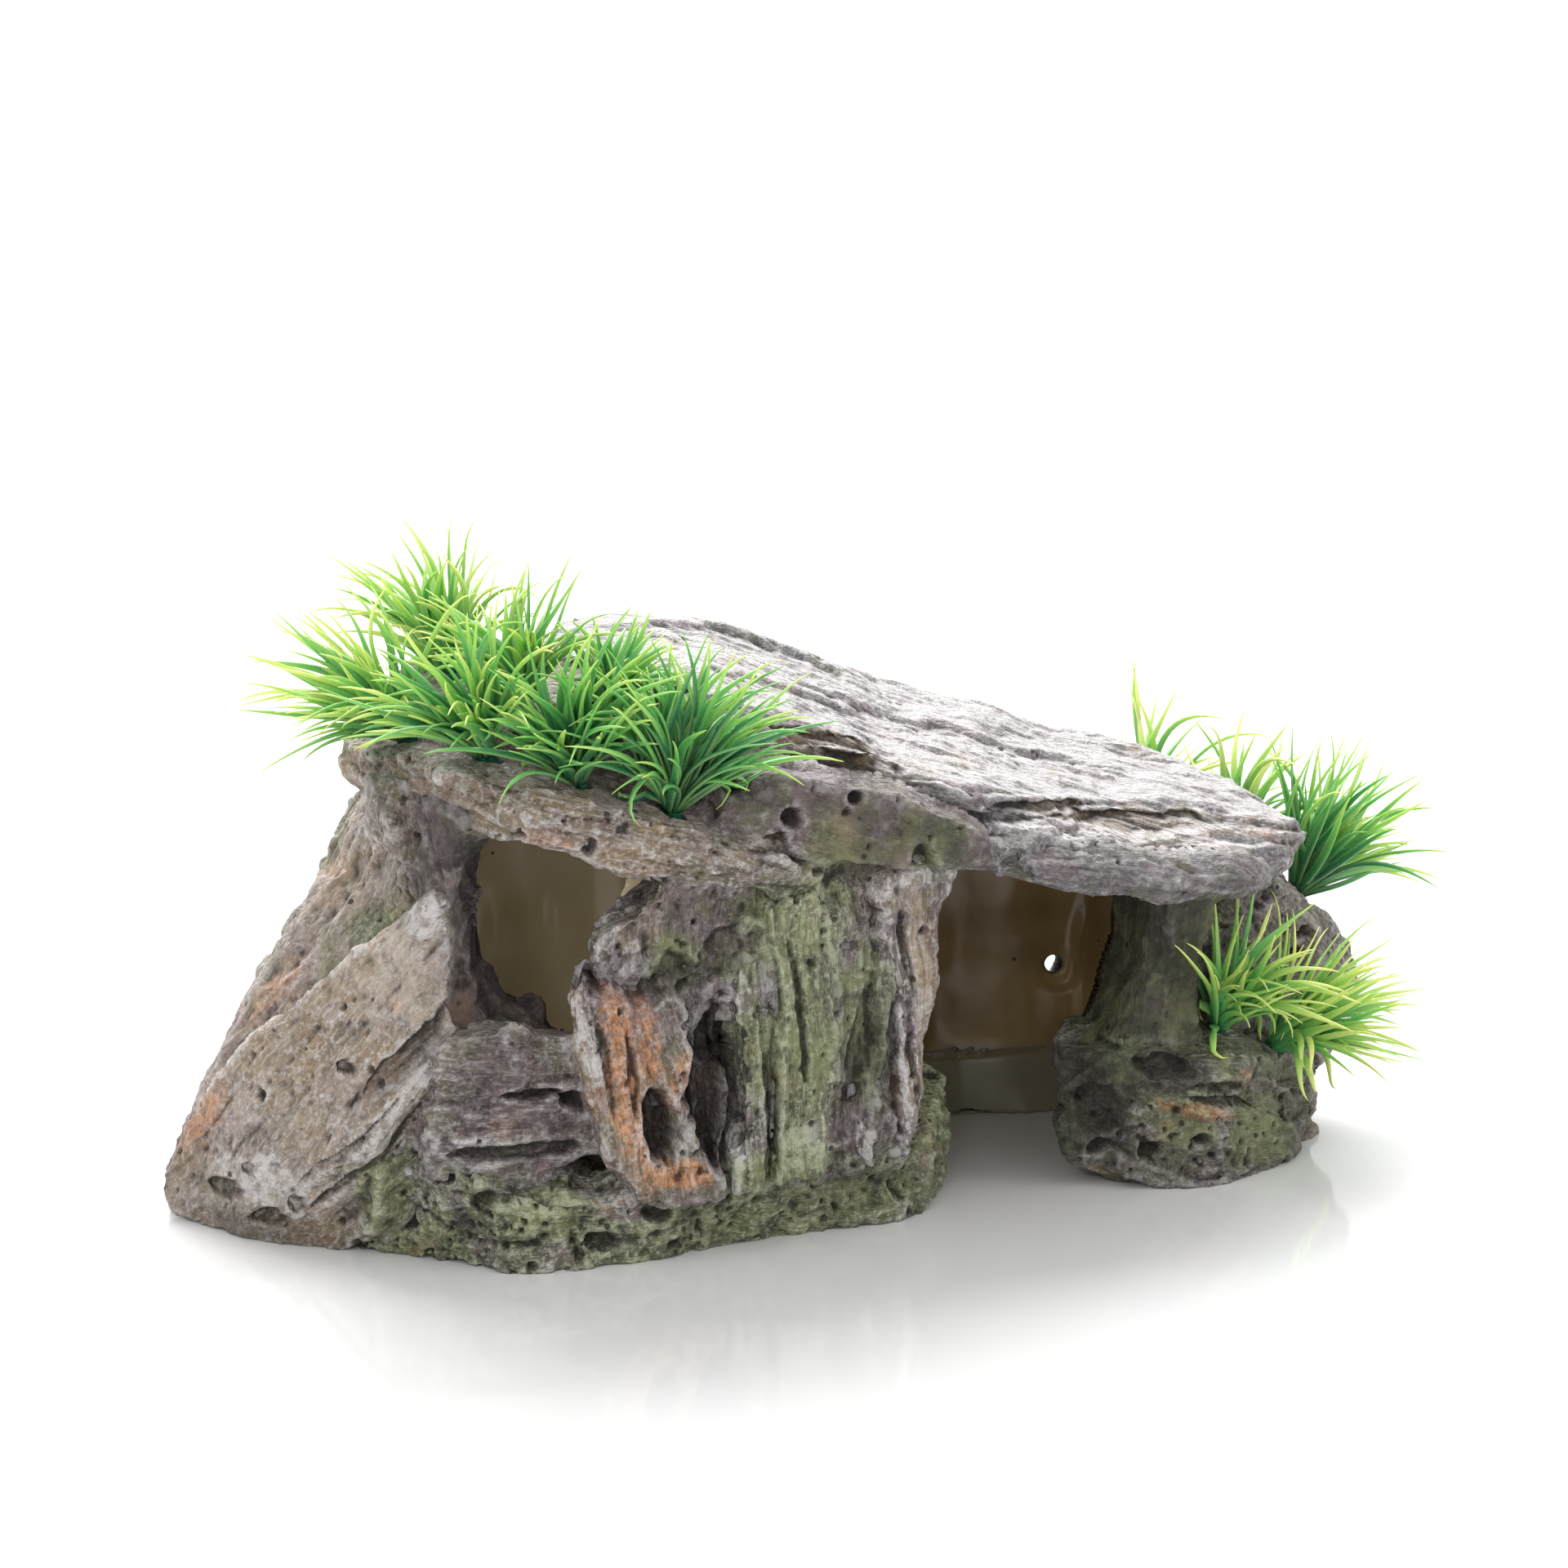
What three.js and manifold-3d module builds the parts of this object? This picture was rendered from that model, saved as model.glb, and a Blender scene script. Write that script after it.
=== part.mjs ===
// Resin cave ornament for an aquarium: a roof slab and a lower shelf slab on a ring of standing
// stones round an open-floored cave, with sprigs of plastic grass plugged into drilled sockets.
// Millimetres, +Z up. +X runs along the ornament, and -Y is the open side with the two mouths.
// The origin is at the middle of the footprint of the whole box, on the surface it stands on.

import * as THREE from 'three';
import Module from 'manifold-3d';
import { ConvexGeometry } from 'three/addons/geometries/ConvexGeometry.js';
import { LoftGeometry } from 'three/addons/geometries/LoftGeometry.js';
import { mergeVertices } from 'three/addons/utils/BufferGeometryUtils.js';

const JOINT_GAP = 0.4; // glue line that a stone keeps to the neighbour it is fitted to
const WALL_THICKNESS = 6.5; // back shell of the cave, inside to outside, at its top edge
const WALL_FLARE = 5; // how much further out the back shell stands at its foot
const SKIRT_HEIGHT = 13; // inner kerb along the foot of the back shell
const SKIRT_DEPTH = 4.5;
const VENT_RADIUS = 2.1; // the water hole through the back shell
const VENT_TURN = THREE.MathUtils.degToRad(23); // it runs out toward the rear right
const VENT_DROP = THREE.MathUtils.degToRad(15); // and downward, so that it drains
const PLUG_RADIUS = 2.3; // moulded base of a grass sprig
const PLUG_LENGTH = 6.5;
const PLUG_PROUD = 1.2; // how far the plug stands out of the stone
const SOCKET_CLEARANCE = 0.35;
const TUFT_BASE_RADIUS = 2.6;
const TUFT_CLEARANCE = 0.4; // between a plug and the blades that spring from it
const ROUND_SIDES = 12;

const wasm = await Module();
wasm.setup();

// ---- materials -------------------------------------------------------------------------------

function paint(color, roughness) {
  return new THREE.MeshStandardMaterial({ color, roughness, metalness: 0 });
}

const slateResin = paint(0x9a9296, 0.75);
const mauveResin = paint(0x6a5e60, 0.8);
const ochreResin = paint(0x8a7a5c, 0.8);
const mossResin = paint(0x5f6444, 0.9);
const rustResin = paint(0x9c6238, 0.8);
const bareResin = paint(0x9b7c46, 0.45);
const grassPlastic = paint(0x4fae2c, 0.4);

// ---- solid helpers ---------------------------------------------------------------------------

function vectors(points) {
  return points.map(([x, y, z]) => new THREE.Vector3(x, y, z));
}

// A stone whose faces are the flats between a few corners.
function stone(corners) {
  return new ConvexGeometry(vectors(corners));
}

// A stone skinned through outlines that all have the same number of points.
function skinned(sections) {
  return new LoftGeometry(sections.map(vectors), { capStart: true, capEnd: true });
}

function plainCopy(geometry) {
  return new THREE.BufferGeometry().copy(geometry);
}

function toSolid(geometry) {
  const bare = plainCopy(geometry);
  for (const name of Object.keys(bare.attributes)) {
    if (name !== 'position') bare.deleteAttribute(name);
  }
  const merged = mergeVertices(bare, 1e-4);
  return new wasm.Manifold(new wasm.Mesh({
    numProp: 3,
    vertProperties: Float32Array.from(merged.attributes.position.array),
    triVerts: Uint32Array.from(merged.index.array),
  }));
}

function toGeometry(solid) {
  const mesh = solid.getMesh();
  const geometry = new THREE.BufferGeometry();
  geometry.setAttribute('position', new THREE.BufferAttribute(mesh.vertProperties, 3));
  geometry.setIndex(new THREE.BufferAttribute(mesh.triVerts, 1));
  geometry.computeVertexNormals();
  return geometry;
}

function cut(geometry, tools) {
  const solid = tools.reduce((rest, tool) => rest.subtract(toSolid(tool)), toSolid(geometry));
  return toGeometry(solid);
}

// The neighbour nudged each way by the glue line, so that a stone cut by it keeps that gap.
function gluedNeighbour(geometry) {
  const copies = [geometry];
  for (const axis of ['x', 'y', 'z']) {
    for (const side of [-1, 1]) {
      const shift = new THREE.Vector3();
      shift[axis] = side * JOINT_GAP;
      copies.push(plainCopy(geometry).translate(shift.x, shift.y, shift.z));
    }
  }
  return copies;
}

// ---- roof and shelf --------------------------------------------------------------------------

// One cross-section of a slab that runs along X, from its front edge to its rear edge.
function slabSection(x, front, rear) {
  const [frontY, frontTop, frontBottom] = front;
  const [rearY, rearTop, rearBottom] = rear;
  const lip = 2; // the faces lean out to a line a little below the top edge
  return [
    [x, rearY - lip, rearBottom],
    [x, rearY, (rearTop + rearBottom) / 2],
    [x, rearY - lip, rearTop],
    [x, frontY + lip, frontTop],
    [x, frontY, (frontTop + frontBottom) / 2],
    [x, frontY + lip, frontBottom],
  ];
}

// The same with the top broken away towards the front, below a shoulder line.
function brokenSection(x, shoulder, front, rear) {
  return slabSection(x, front, rear).toSpliced(3, 0, [x, ...shoulder]);
}

function roofSlab() {
  return skinned([
    brokenSection(-37, [32, 111], [27, 110, 103], [42, 111, 103]),
    brokenSection(-25, [7, 113.3], [2, 112, 101], [47, 116, 103]),
    brokenSection(-12, [-16, 110.6], [-22, 107, 97], [49, 117, 102]),
    brokenSection(6, [-14, 104.1], [-26, 98, 89], [49, 115, 101]),
    brokenSection(23, [-21, 95.4], [-28, 91, 80], [49, 109, 96]),
    brokenSection(40, [-24, 90.2], [-32, 85, 73], [49, 101, 88]),
    brokenSection(57, [-18, 85.5], [-34, 77, 68], [48, 96, 82]),
    brokenSection(82, [-4, 79.9], [-32, 71.5, 64], [46, 87, 75]),
    brokenSection(104, [-3, 76.2], [-23, 69, 61], [41, 81, 69]),
    brokenSection(118, [-7, 72.4], [-13, 69.5, 62], [29, 75, 66]),
    brokenSection(126, [0, 70.3], [-4, 69.4, 66], [13, 71, 67]),
  ]);
}

// A thin split of the roof that shows as a second step along its front.
function roofLeaf() {
  return stone([
    [50, -38, 76], [78, -38, 70], [100, -30, 66], [112, -20, 66],
    [48, -30, 79], [78, -32, 74], [104, -22, 70],
    [50, -35, 71], [78, -35, 66], [100, -27, 63],
  ]);
}

function browBlock() {
  return stone([
    [-17, -32, 98], [-8, -36, 99], [20, -36, 92], [40, -35, 82],
    [-19, -36, 86], [10, -38, 79], [42, -34, 75],
    [-28, -8, 86], [40, -10, 76], [-28, -8, 104], [30, -10, 92],
  ]);
}

function shelfSlab() {
  return skinned([
    slabSection(-82, [2, 100, 95], [16, 101, 95]),
    slabSection(-76, [-14, 102, 92], [26, 103, 90]),
    slabSection(-68, [-28, 102, 91], [30, 104, 90]),
    slabSection(-58, [-37, 100, 90], [26, 104, 90]),
    slabSection(-38, [-40, 94, 82], [0, 99, 86]),
    slabSection(-16, [-40, 87, 77], [-14, 92, 80]),
    slabSection(4, [-38, 81, 75], [-18, 85, 77]),
  ]);
}

function shelfKnob() {
  return stone([
    [-82, -8, 92], [-80, -16, 90], [-73, -19, 89], [-82, -2, 86], [-78, -14, 82],
    [-71, -16, 82], [-70, -2, 92], [-72, 2, 84], [-83, -6, 98], [-76, -15, 97],
  ]);
}

// The stone under the grass, between the shelf and the left edge of the roof.
function leftShoulder() {
  return stone([
    [-72, 14, 108], [-62, -14, 107], [-40, -24, 108], [-24, -24, 106],
    [-60, 40, 111], [-34, 46, 113], [-24, 10, 112],
    [-76, 18, 92], [-64, -14, 94], [-24, -24, 96], [-66, 42, 92], [-28, 50, 98], [-24, 0, 98],
  ]);
}

// ---- left end --------------------------------------------------------------------------------

// Outlines run: front corner, inner front, inner rear, outer rear, outermost corner.
function leftLeafBack() {
  const outlines = [
    [0, [-104, 20], [-90, 22], [-88, 46], [-110, 49], [-117, 30]],
    [11, [-104, 18], [-90, 20], [-88, 46], [-110, 49], [-118, 27]],
    [22, [-98, 10], [-84, 16], [-84, 46], [-105, 49], [-114, 26]],
    [32, [-92, 4], [-80, 12], [-82, 46], [-100, 49], [-108, 26]],
    [48, [-84, -4], [-74, 8], [-76, 45], [-92, 48], [-100, 25]],
    [60, [-76, -12], [-68, 2], [-68, 44], [-83, 47], [-92, 24]],
    [74, [-72, -12], [-64, 0], [-62, 42], [-73, 45], [-81, 20]],
    [90, [-74, -8], [-64, 0], [-60, 38], [-67, 40], [-77, 10]],
  ];
  return skinned(outlines.map(([z, ...corners]) => corners.map(([x, y]) => [x, y, z])));
}

function leftLeafFront() {
  return stone([
    [-73, -22, 77], [-88, -3, 57], [-104, 11, 42], [-116, 24, 20], [-120, 26, 9],
    [-118, 24, 0], [-109, 8, 0], [-82, -12, 0], [-78, 8, 0],
    [-72, -25, 62], [-72, -26, 47], [-88, -23, 27], [-70, 2, 62], [-88, 20, 30],
  ]);
}

// One outline of a stone that stands up: its two sides along X, front and rear along Y.
function standingSection(z, [left, right], [front, rear]) {
  const chamfer = 3;
  return [
    [right - chamfer, front, z],
    [right, front + chamfer, z],
    [right, rear, z],
    [left, rear, z],
    [left, front + chamfer, z],
    [left + chamfer, front, z],
  ];
}

function leftJamb() {
  return skinned([
    standingSection(38, [-72, -46], [-26, -8]),
    standingSection(47, [-72, -48], [-25, -8]),
    standingSection(52, [-73, -57], [-22, -8]),
    standingSection(60, [-74, -61], [-20, -6]),
    standingSection(74, [-74, -64], [-20, -4]),
    standingSection(94, [-73, -62], [-27, -4]),
  ]);
}

function sillBlock() {
  return stone([
    [-76, -28, 48], [-60, -31, 50], [-44, -31, 44], [-43, -30, 24], [-60, -33, 18], [-77, -27, 20],
    [-76, -10, 46], [-44, -14, 44], [-44, -12, 20], [-78, -8, 20],
  ]);
}

function baseLeft() {
  return stone([
    [-94, -2, 0], [-81, -13, 0], [-63, -34, 0], [-50, -36, 0], [-20, -31, 0], [-16, -6, 0],
    [-80, 10, 0], [-92, -10, 24], [-82, -21, 26], [-70, -31, 20], [-56, -37, 15],
    [-22, -35, 11], [-20, -8, 15], [-82, 2, 24],
  ]);
}

// ---- middle pillar ---------------------------------------------------------------------------

function pillarCore() {
  return stone([
    [-38, -33, 80], [27, -30, 78], [28, -14, 80], [-34, -16, 84],
    [-44, -34, 66], [-42, -20, 64], [-26, -35, 13], [21, -31, 13], [20, -12, 13], [-24, -14, 13],
    [-10, -36, 60], [18, -34, 60],
  ]);
}

function orangeFlake() {
  return stone([
    [-48, -35, 63], [-51, -37, 55], [-49, -40, 44], [-44, -40, 26], [-37, -39, 14],
    [-20, -40, 13], [-21, -39, 44], [-22, -36, 62], [-46, -28, 60], [-40, -28, 20], [-22, -31, 14],
    [-22, -31, 62],
  ]);
}

function thinRidge() {
  return stone([
    [-16, -39, 60], [-12, -38, 62], [-10, -39, 46], [-11, -40, 14], [-17, -40, 14],
    [-17, -32, 60], [-10, -32, 60], [-17, -32, 14], [-10, -32, 14],
  ]);
}

function greenRidge() {
  return stone([
    [-8, -38, 73], [2, -37, 74], [4, -39, 40], [2, -41, 15], [-8, -41, 15], [-9, -41, 40],
    [-8, -31, 72], [4, -31, 72], [4, -31, 15], [-8, -31, 15],
  ]);
}

function edgeFlake() {
  return stone([
    [18, -35, 74], [30, -32, 75], [30, -29, 56], [27, -30, 32], [23, -32, 15], [14, -36, 16],
    [17, -36, 44], [30, -22, 74], [29, -22, 40], [22, -24, 15], [16, -26, 44],
  ]);
}

function baseRight() {
  return stone([
    [-22, -33, 0], [6, -26, 0], [29, -27, 0], [40, -12, 0], [43, 8, 0], [36, 20, 0], [-14, -2, 0],
    [44, 2, 12], [43, -3, 21], [36, 6, 27], [38, 16, 24], [32, -22, 18], [10, -29, 15],
    [-20, -36, 11], [-14, -8, 18], [14, 14, 24],
  ]);
}

// ---- right end -------------------------------------------------------------------------------

function rightColumn() {
  return skinned([
    standingSection(30, [74, 96], [-21, -4]),
    standingSection(38, [78, 96], [-21, -4]),
    standingSection(50, [82, 96], [-22, -4]),
    standingSection(68, [82, 98], [-25, -4]),
  ]);
}

function rightRearRock() {
  return stone([
    [94, -16, 62], [92, 38, 68], [118, 40, 66], [118, -4, 62], [124, 9, 56], [130, 12, 50],
    [139, 14, 44], [146, 15, 39], [149, 14, 32], [148, 12, 26], [139, 8, 13], [128, 4, 0],
    [130, 26, 0], [110, 44, 0], [92, 42, 0], [92, -2, 0], [132, 36, 44], [112, 50, 40],
  ]);
}

function rightFoot() {
  return stone([
    [62, -18, 28], [62, -20, 19], [66, -20, 6], [72, -12, 0], [79, -22, 0], [88, -29, 0],
    [98, -31, 0], [114, -21, 0], [131, -2, 0], [132, -5, 9], [131, -3, 15], [116, -14, 21],
    [102, -22, 25], [88, -28, 27], [72, -24, 31], [72, -2, 31], [104, -6, 32], [120, 2, 24],
    [126, 8, 0], [78, -2, 0],
  ]);
}

// ---- back shell ------------------------------------------------------------------------------

// The line of the shell's inner face in plan, with the height of its top edge.
const WALL_LINE = [
  { x: -78, y: 38, top: 66 },
  { x: -68, y: 41, top: 88 },
  { x: -42, y: 43, top: 97 },
  { x: -12, y: 43, top: 100 },
  { x: 14, y: 42.5, top: 97 },
  { x: 40, y: 42, top: 87 },
  { x: 62, y: 40, top: 80 },
  { x: 94, y: 34, top: 70 },
];

function wallSection({ x, y, top }) {
  const outside = y + WALL_THICKNESS;
  return [
    [x, outside + WALL_FLARE, 0],
    [x, outside + WALL_FLARE * 0.8, top * 0.4],
    [x, outside, top],
    [x, y, top],
    [x, y - 1.5, top * 0.5],
    [x, y, 0],
  ];
}

function ventHole(x, z) {
  const reach = 3 * (WALL_THICKNESS + WALL_FLARE);
  const hole = new THREE.CylinderGeometry(VENT_RADIUS, VENT_RADIUS, reach, ROUND_SIDES);
  hole.rotateX(-VENT_DROP).rotateZ(-VENT_TURN);
  return hole.translate(x, WALL_LINE[3].y, z);
}

function rearWall() {
  return cut(skinned(WALL_LINE.map(wallSection)), [ventHole(88, 31)]);
}

function rearSkirt() {
  const line = WALL_LINE.slice(4);
  return skinned(line.map(({ x, y }) => [
    [x, y - JOINT_GAP, 0],
    [x, y - 2 * JOINT_GAP, SKIRT_HEIGHT],
    [x, y - SKIRT_DEPTH + 1, SKIRT_HEIGHT],
    [x, y - SKIRT_DEPTH, 0],
  ]));
}

// ---- grass sprigs ----------------------------------------------------------------------------

// Where each sprig comes out of its stone, the way it leans, and how tall and wide its blades are.
const SPRIGS = [
  { root: [-27, -30, 91], lean: [0.05, -0.25, 1], height: 27, spread: 8 },
  { root: [-46, -28, 98], lean: [-0.15, -0.25, 1], height: 27, spread: 8 },
  { root: [-62, -19, 103], lean: [-0.35, -0.2, 1], height: 25, spread: 7 },
  { root: [-72, 2, 103], lean: [-0.6, -0.1, 1], height: 25, spread: 7 },
  { root: [-49, -2, 109], lean: [-0.1, 0, 1], height: 26, spread: 7 },
  { root: [-33, -6, 108], lean: [0.1, -0.15, 1], height: 20, spread: 5 },
  { root: [-56, 26, 110], lean: [-0.1, 0.1, 1], height: 28, spread: 8 },
  { root: [110, 44, 63], lean: [0.2, 0.3, 1], height: 26, spread: 7 },
  { root: [136, 20, 47.5], lean: [0.6, 0, 1], height: 26, spread: 9 },
  { root: [126, 30, 57.5], lean: [0.35, 0.2, 1], height: 26, spread: 6 },
  { root: [102, -13, 29], lean: [0.1, -0.3, 1], height: 27, spread: 7 },
  { root: [117, -9, 22], lean: [0.7, -0.4, 1], height: 25, spread: 7 },
];

function sprigFrame({ root, lean }) {
  const matrix = new THREE.Matrix4();
  const up = new THREE.Vector3(...lean).normalize();
  matrix.makeRotationFromQuaternion(
    new THREE.Quaternion().setFromUnitVectors(new THREE.Vector3(0, 1, 0), up),
  );
  return matrix.setPosition(...root);
}

function plugGeometry() {
  const plug = new THREE.CylinderGeometry(PLUG_RADIUS, PLUG_RADIUS, PLUG_LENGTH, ROUND_SIDES);
  return plug.translate(0, PLUG_PROUD - PLUG_LENGTH / 2, 0);
}

function socketGeometry() {
  const radius = PLUG_RADIUS + SOCKET_CLEARANCE;
  const depth = PLUG_LENGTH - PLUG_PROUD + SOCKET_CLEARANCE;
  const mouth = 12; // long enough to clear the stone above the root
  const socket = new THREE.CylinderGeometry(radius, radius, depth + mouth, ROUND_SIDES);
  return socket.translate(0, (mouth - depth) / 2, 0);
}

function tuftGeometry({ height, spread }) {
  const start = PLUG_PROUD + TUFT_CLEARANCE;
  const profile = [
    [0, start],
    [TUFT_BASE_RADIUS, start],
    [spread * 0.65, start + height * 0.45],
    [spread, start + height * 0.8],
    [spread * 0.55, start + height],
    [0, start + height],
  ];
  const points = profile.map(([radius, y]) => new THREE.Vector2(radius, y));
  return new THREE.LatheGeometry(points, ROUND_SIDES);
}

// ---- assembly --------------------------------------------------------------------------------

// Each stone with the neighbours that it is fitted round, which come before it in the list.
const STONES = [
  ['roof_slab', roofSlab, slateResin, []],
  ['shelf_slab', shelfSlab, ochreResin, ['roof_slab']],
  ['left_shoulder', leftShoulder, ochreResin, ['roof_slab', 'shelf_slab']],
  ['brow_block', browBlock, mauveResin, ['roof_slab', 'shelf_slab', 'left_shoulder']],
  ['roof_leaf', roofLeaf, slateResin, ['roof_slab', 'brow_block']],
  ['shelf_knob', shelfKnob, ochreResin, ['shelf_slab']],
  ['left_leaf_front', leftLeafFront, ochreResin, ['shelf_slab', 'shelf_knob']],
  ['left_leaf_back', leftLeafBack, mauveResin,
    ['shelf_slab', 'left_shoulder', 'shelf_knob', 'left_leaf_front']],
  ['left_jamb', leftJamb, mauveResin,
    ['shelf_slab', 'left_shoulder', 'shelf_knob', 'left_leaf_front', 'left_leaf_back']],
  ['base_left', baseLeft, mossResin, ['left_leaf_front', 'left_leaf_back']],
  ['sill_block', sillBlock, mauveResin, ['left_jamb', 'left_leaf_front', 'base_left']],
  ['orange_flake', orangeFlake, rustResin, ['sill_block', 'base_left']],
  ['thin_ridge', thinRidge, mossResin, ['orange_flake']],
  ['green_ridge', greenRidge, mossResin, ['thin_ridge', 'brow_block', 'shelf_slab']],
  ['edge_flake', edgeFlake, mauveResin, ['brow_block']],
  ['pillar_core', pillarCore, mauveResin,
    ['brow_block', 'shelf_slab', 'orange_flake', 'thin_ridge', 'green_ridge', 'edge_flake',
      'base_left', 'sill_block', 'roof_slab', 'left_shoulder', 'left_jamb']],
  ['base_right', baseRight, mossResin,
    ['base_left', 'pillar_core', 'orange_flake', 'thin_ridge', 'green_ridge', 'edge_flake']],
  ['right_foot', rightFoot, mossResin, []],
  ['right_column', rightColumn, mauveResin, ['roof_slab', 'roof_leaf', 'right_foot']],
  ['right_rear_rock', rightRearRock, mauveResin,
    ['roof_slab', 'roof_leaf', 'right_foot', 'right_column']],
  ['rear_wall', rearWall, bareResin,
    ['roof_slab', 'left_shoulder', 'shelf_slab', 'left_leaf_back', 'right_rear_rock']],
  ['rear_skirt', rearSkirt, bareResin, ['rear_wall', 'right_rear_rock']],
];

function sprigName(kind, index) {
  return `${kind}_${String(index + 1).padStart(2, '0')}`;
}

function buildStones(target) {
  const shapes = new Map();
  const sockets = SPRIGS.map((sprig) => socketGeometry().applyMatrix4(sprigFrame(sprig)));
  for (const [name, shape, material, neighbours] of STONES) {
    const tools = neighbours.flatMap((other) => gluedNeighbour(shapes.get(other)));
    shapes.set(name, cut(shape(), tools));
    const mesh = new THREE.Mesh(cut(shapes.get(name), sockets), material);
    mesh.name = name;
    target.add(mesh);
  }
}

function buildSprigs(target) {
  SPRIGS.forEach((sprig, index) => {
    const plug = new THREE.Mesh(plugGeometry(), grassPlastic);
    const tuft = new THREE.Mesh(tuftGeometry(sprig), grassPlastic);
    plug.name = sprigName('grass_plug', index);
    tuft.name = sprigName('grass_tuft', index);
    const holder = new THREE.Group();
    holder.applyMatrix4(sprigFrame(sprig));
    holder.add(plug, tuft);
    target.add(holder);
  });
}

function centreOnFootprint(group) {
  group.updateMatrixWorld(true);
  const box = new THREE.Box3().setFromObject(group, true);
  const centre = box.getCenter(new THREE.Vector3());
  group.position.set(-centre.x, -centre.y, -box.min.z);
}

const ornament = new THREE.Group();
buildStones(ornament);
buildSprigs(ornament);
centreOnFootprint(ornament);

export default ornament;
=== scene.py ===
"""Resin cave ornament: rock surfaces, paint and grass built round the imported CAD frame. Metres, +Z up."""

import math
from itertools import product

import bpy
import numpy as np
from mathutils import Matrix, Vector
from mathutils.bvhtree import BVHTree


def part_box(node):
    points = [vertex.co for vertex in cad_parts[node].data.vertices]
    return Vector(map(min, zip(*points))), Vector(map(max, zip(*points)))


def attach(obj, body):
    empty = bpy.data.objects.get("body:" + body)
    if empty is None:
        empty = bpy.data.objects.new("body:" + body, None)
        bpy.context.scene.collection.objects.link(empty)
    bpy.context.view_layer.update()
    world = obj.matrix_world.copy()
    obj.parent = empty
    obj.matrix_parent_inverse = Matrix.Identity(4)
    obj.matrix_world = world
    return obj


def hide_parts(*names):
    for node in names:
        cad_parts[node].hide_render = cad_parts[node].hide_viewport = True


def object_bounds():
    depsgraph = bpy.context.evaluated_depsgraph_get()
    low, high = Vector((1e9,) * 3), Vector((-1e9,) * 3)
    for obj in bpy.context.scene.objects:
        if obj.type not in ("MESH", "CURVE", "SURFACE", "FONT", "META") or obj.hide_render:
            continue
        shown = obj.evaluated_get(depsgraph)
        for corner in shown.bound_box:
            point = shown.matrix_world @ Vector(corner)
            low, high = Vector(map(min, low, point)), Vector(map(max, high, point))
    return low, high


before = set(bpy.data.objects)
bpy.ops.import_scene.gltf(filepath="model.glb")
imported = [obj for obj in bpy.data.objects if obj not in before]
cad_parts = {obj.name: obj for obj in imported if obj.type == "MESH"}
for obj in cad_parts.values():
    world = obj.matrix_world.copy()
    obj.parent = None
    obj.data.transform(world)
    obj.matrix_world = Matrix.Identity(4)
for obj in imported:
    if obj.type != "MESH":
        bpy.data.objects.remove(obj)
CAD_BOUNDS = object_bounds()

MM = 0.001
SEED = 7
COARSE = 1.0
SWELL = 0.4  # mm a stone grows, so the glue lines between stones close
THINNEST = 1.5  # mm of stone left behind a hollow
MEETS = 12.0  # mm within which another stone counts as near
FILL = 0.42  # how fully the corner between two stones is filled
FILL_MOST = 0.58  # the most that a corner is filled, as a share of the stone's fillet
WANDER = 1.6  # mm of slow wander that all stones share
RIBS = 3.6  # mm of the bare inside's long waves
PIT_DEPTH = 1.8  # mm
GROUND = -0.05 * MM  # height of the floor, just under the resting faces

CAMERA_AZIMUTH = -20.0
CAMERA_ELEVATION = 13.0
CAMERA_DISTANCE = 1.0
CAMERA_TARGET = Vector((-0.0096, -0.0068, 0.088))
CAMERA_LENS = 110.3
LIT_MIDDLE = (0, 0, 0.05)  # what the soft boxes face
FLOOR_REACH = 14.0  # half the floor's side


# ---- noise ----


def lattice(ix, iy, iz, seed):
    """A random number from 0 to 1 for each whole-numbered cell."""
    n = (ix * 73856093) ^ (iy * 19349663) ^ (iz * 83492791) ^ (seed * 2654435761)
    n = (n ^ (n >> 13)) & 0xFFFFFFFF
    n = (n * 1274126177) & 0xFFFFFFFF
    n = (n ^ (n >> 16)) & 0xFFFFFFFF
    n = (n * 2246822519) & 0xFFFFFFFF
    return ((n ^ (n >> 15)) & 0xFFFFFF) / float(0xFFFFFF)


def value_noise(points, seed):
    """Smooth noise from -1 to 1 with features one unit across."""
    cell = np.floor(points).astype(np.int64)
    part = points - cell
    blend = part * part * part * (part * (part * 6 - 15) + 10)
    total = np.zeros(len(points))
    for step in product((0, 1), repeat=3):
        wx, wy, wz = (blend[:, k] if step[k] else 1 - blend[:, k] for k in range(3))
        total += wx * wy * wz * lattice(*(cell + step).T, seed)
    return total * 2 - 1


def fbm(points, octaves, seed):
    """Layered noise, from about -1 to 1."""
    total = np.zeros(len(points))
    weight, reach = 1.0, 0.0
    for octave in range(octaves):
        total += weight * value_noise(points * 2.03**octave + 17.3 * octave, seed + octave)
        reach += weight
        weight *= 0.5
    return total / reach


def ridged(points, octaves, seed):
    """Layered noise with sharp crests, from 0 to 1."""
    total = np.zeros(len(points))
    weight, reach = 1.0, 0.0
    for octave in range(octaves):
        crest = 1 - np.abs(value_noise(points * 2.1**octave + 9.1 * octave, seed + octave)) * 2
        total += weight * np.clip(crest, -1, 1)
        reach += weight
        weight *= 0.55
    return total / reach * 0.5 + 0.5


def cells(points, seed):
    """Distances to the nearest and second nearest cell seed, and the nearest cell's random number."""
    cell = np.floor(points).astype(np.int64)
    first = np.full(len(points), 9.0)
    second = np.full(len(points), 9.0)
    chance = np.zeros(len(points))
    for step in product((-1, 0, 1), repeat=3):
        ix, iy, iz = (cell + step).T
        spot = np.stack([lattice(ix, iy, iz, seed + k) for k in (1, 2, 3)], axis=1)
        distance = np.sqrt(((cell + step + spot - points) ** 2).sum(axis=1))
        closer = distance < first
        second = np.where(closer, first, np.minimum(second, distance))
        chance = np.where(closer, lattice(ix, iy, iz, seed + 9), chance)
        first = np.where(closer, distance, first)
    return first, second, chance


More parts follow.
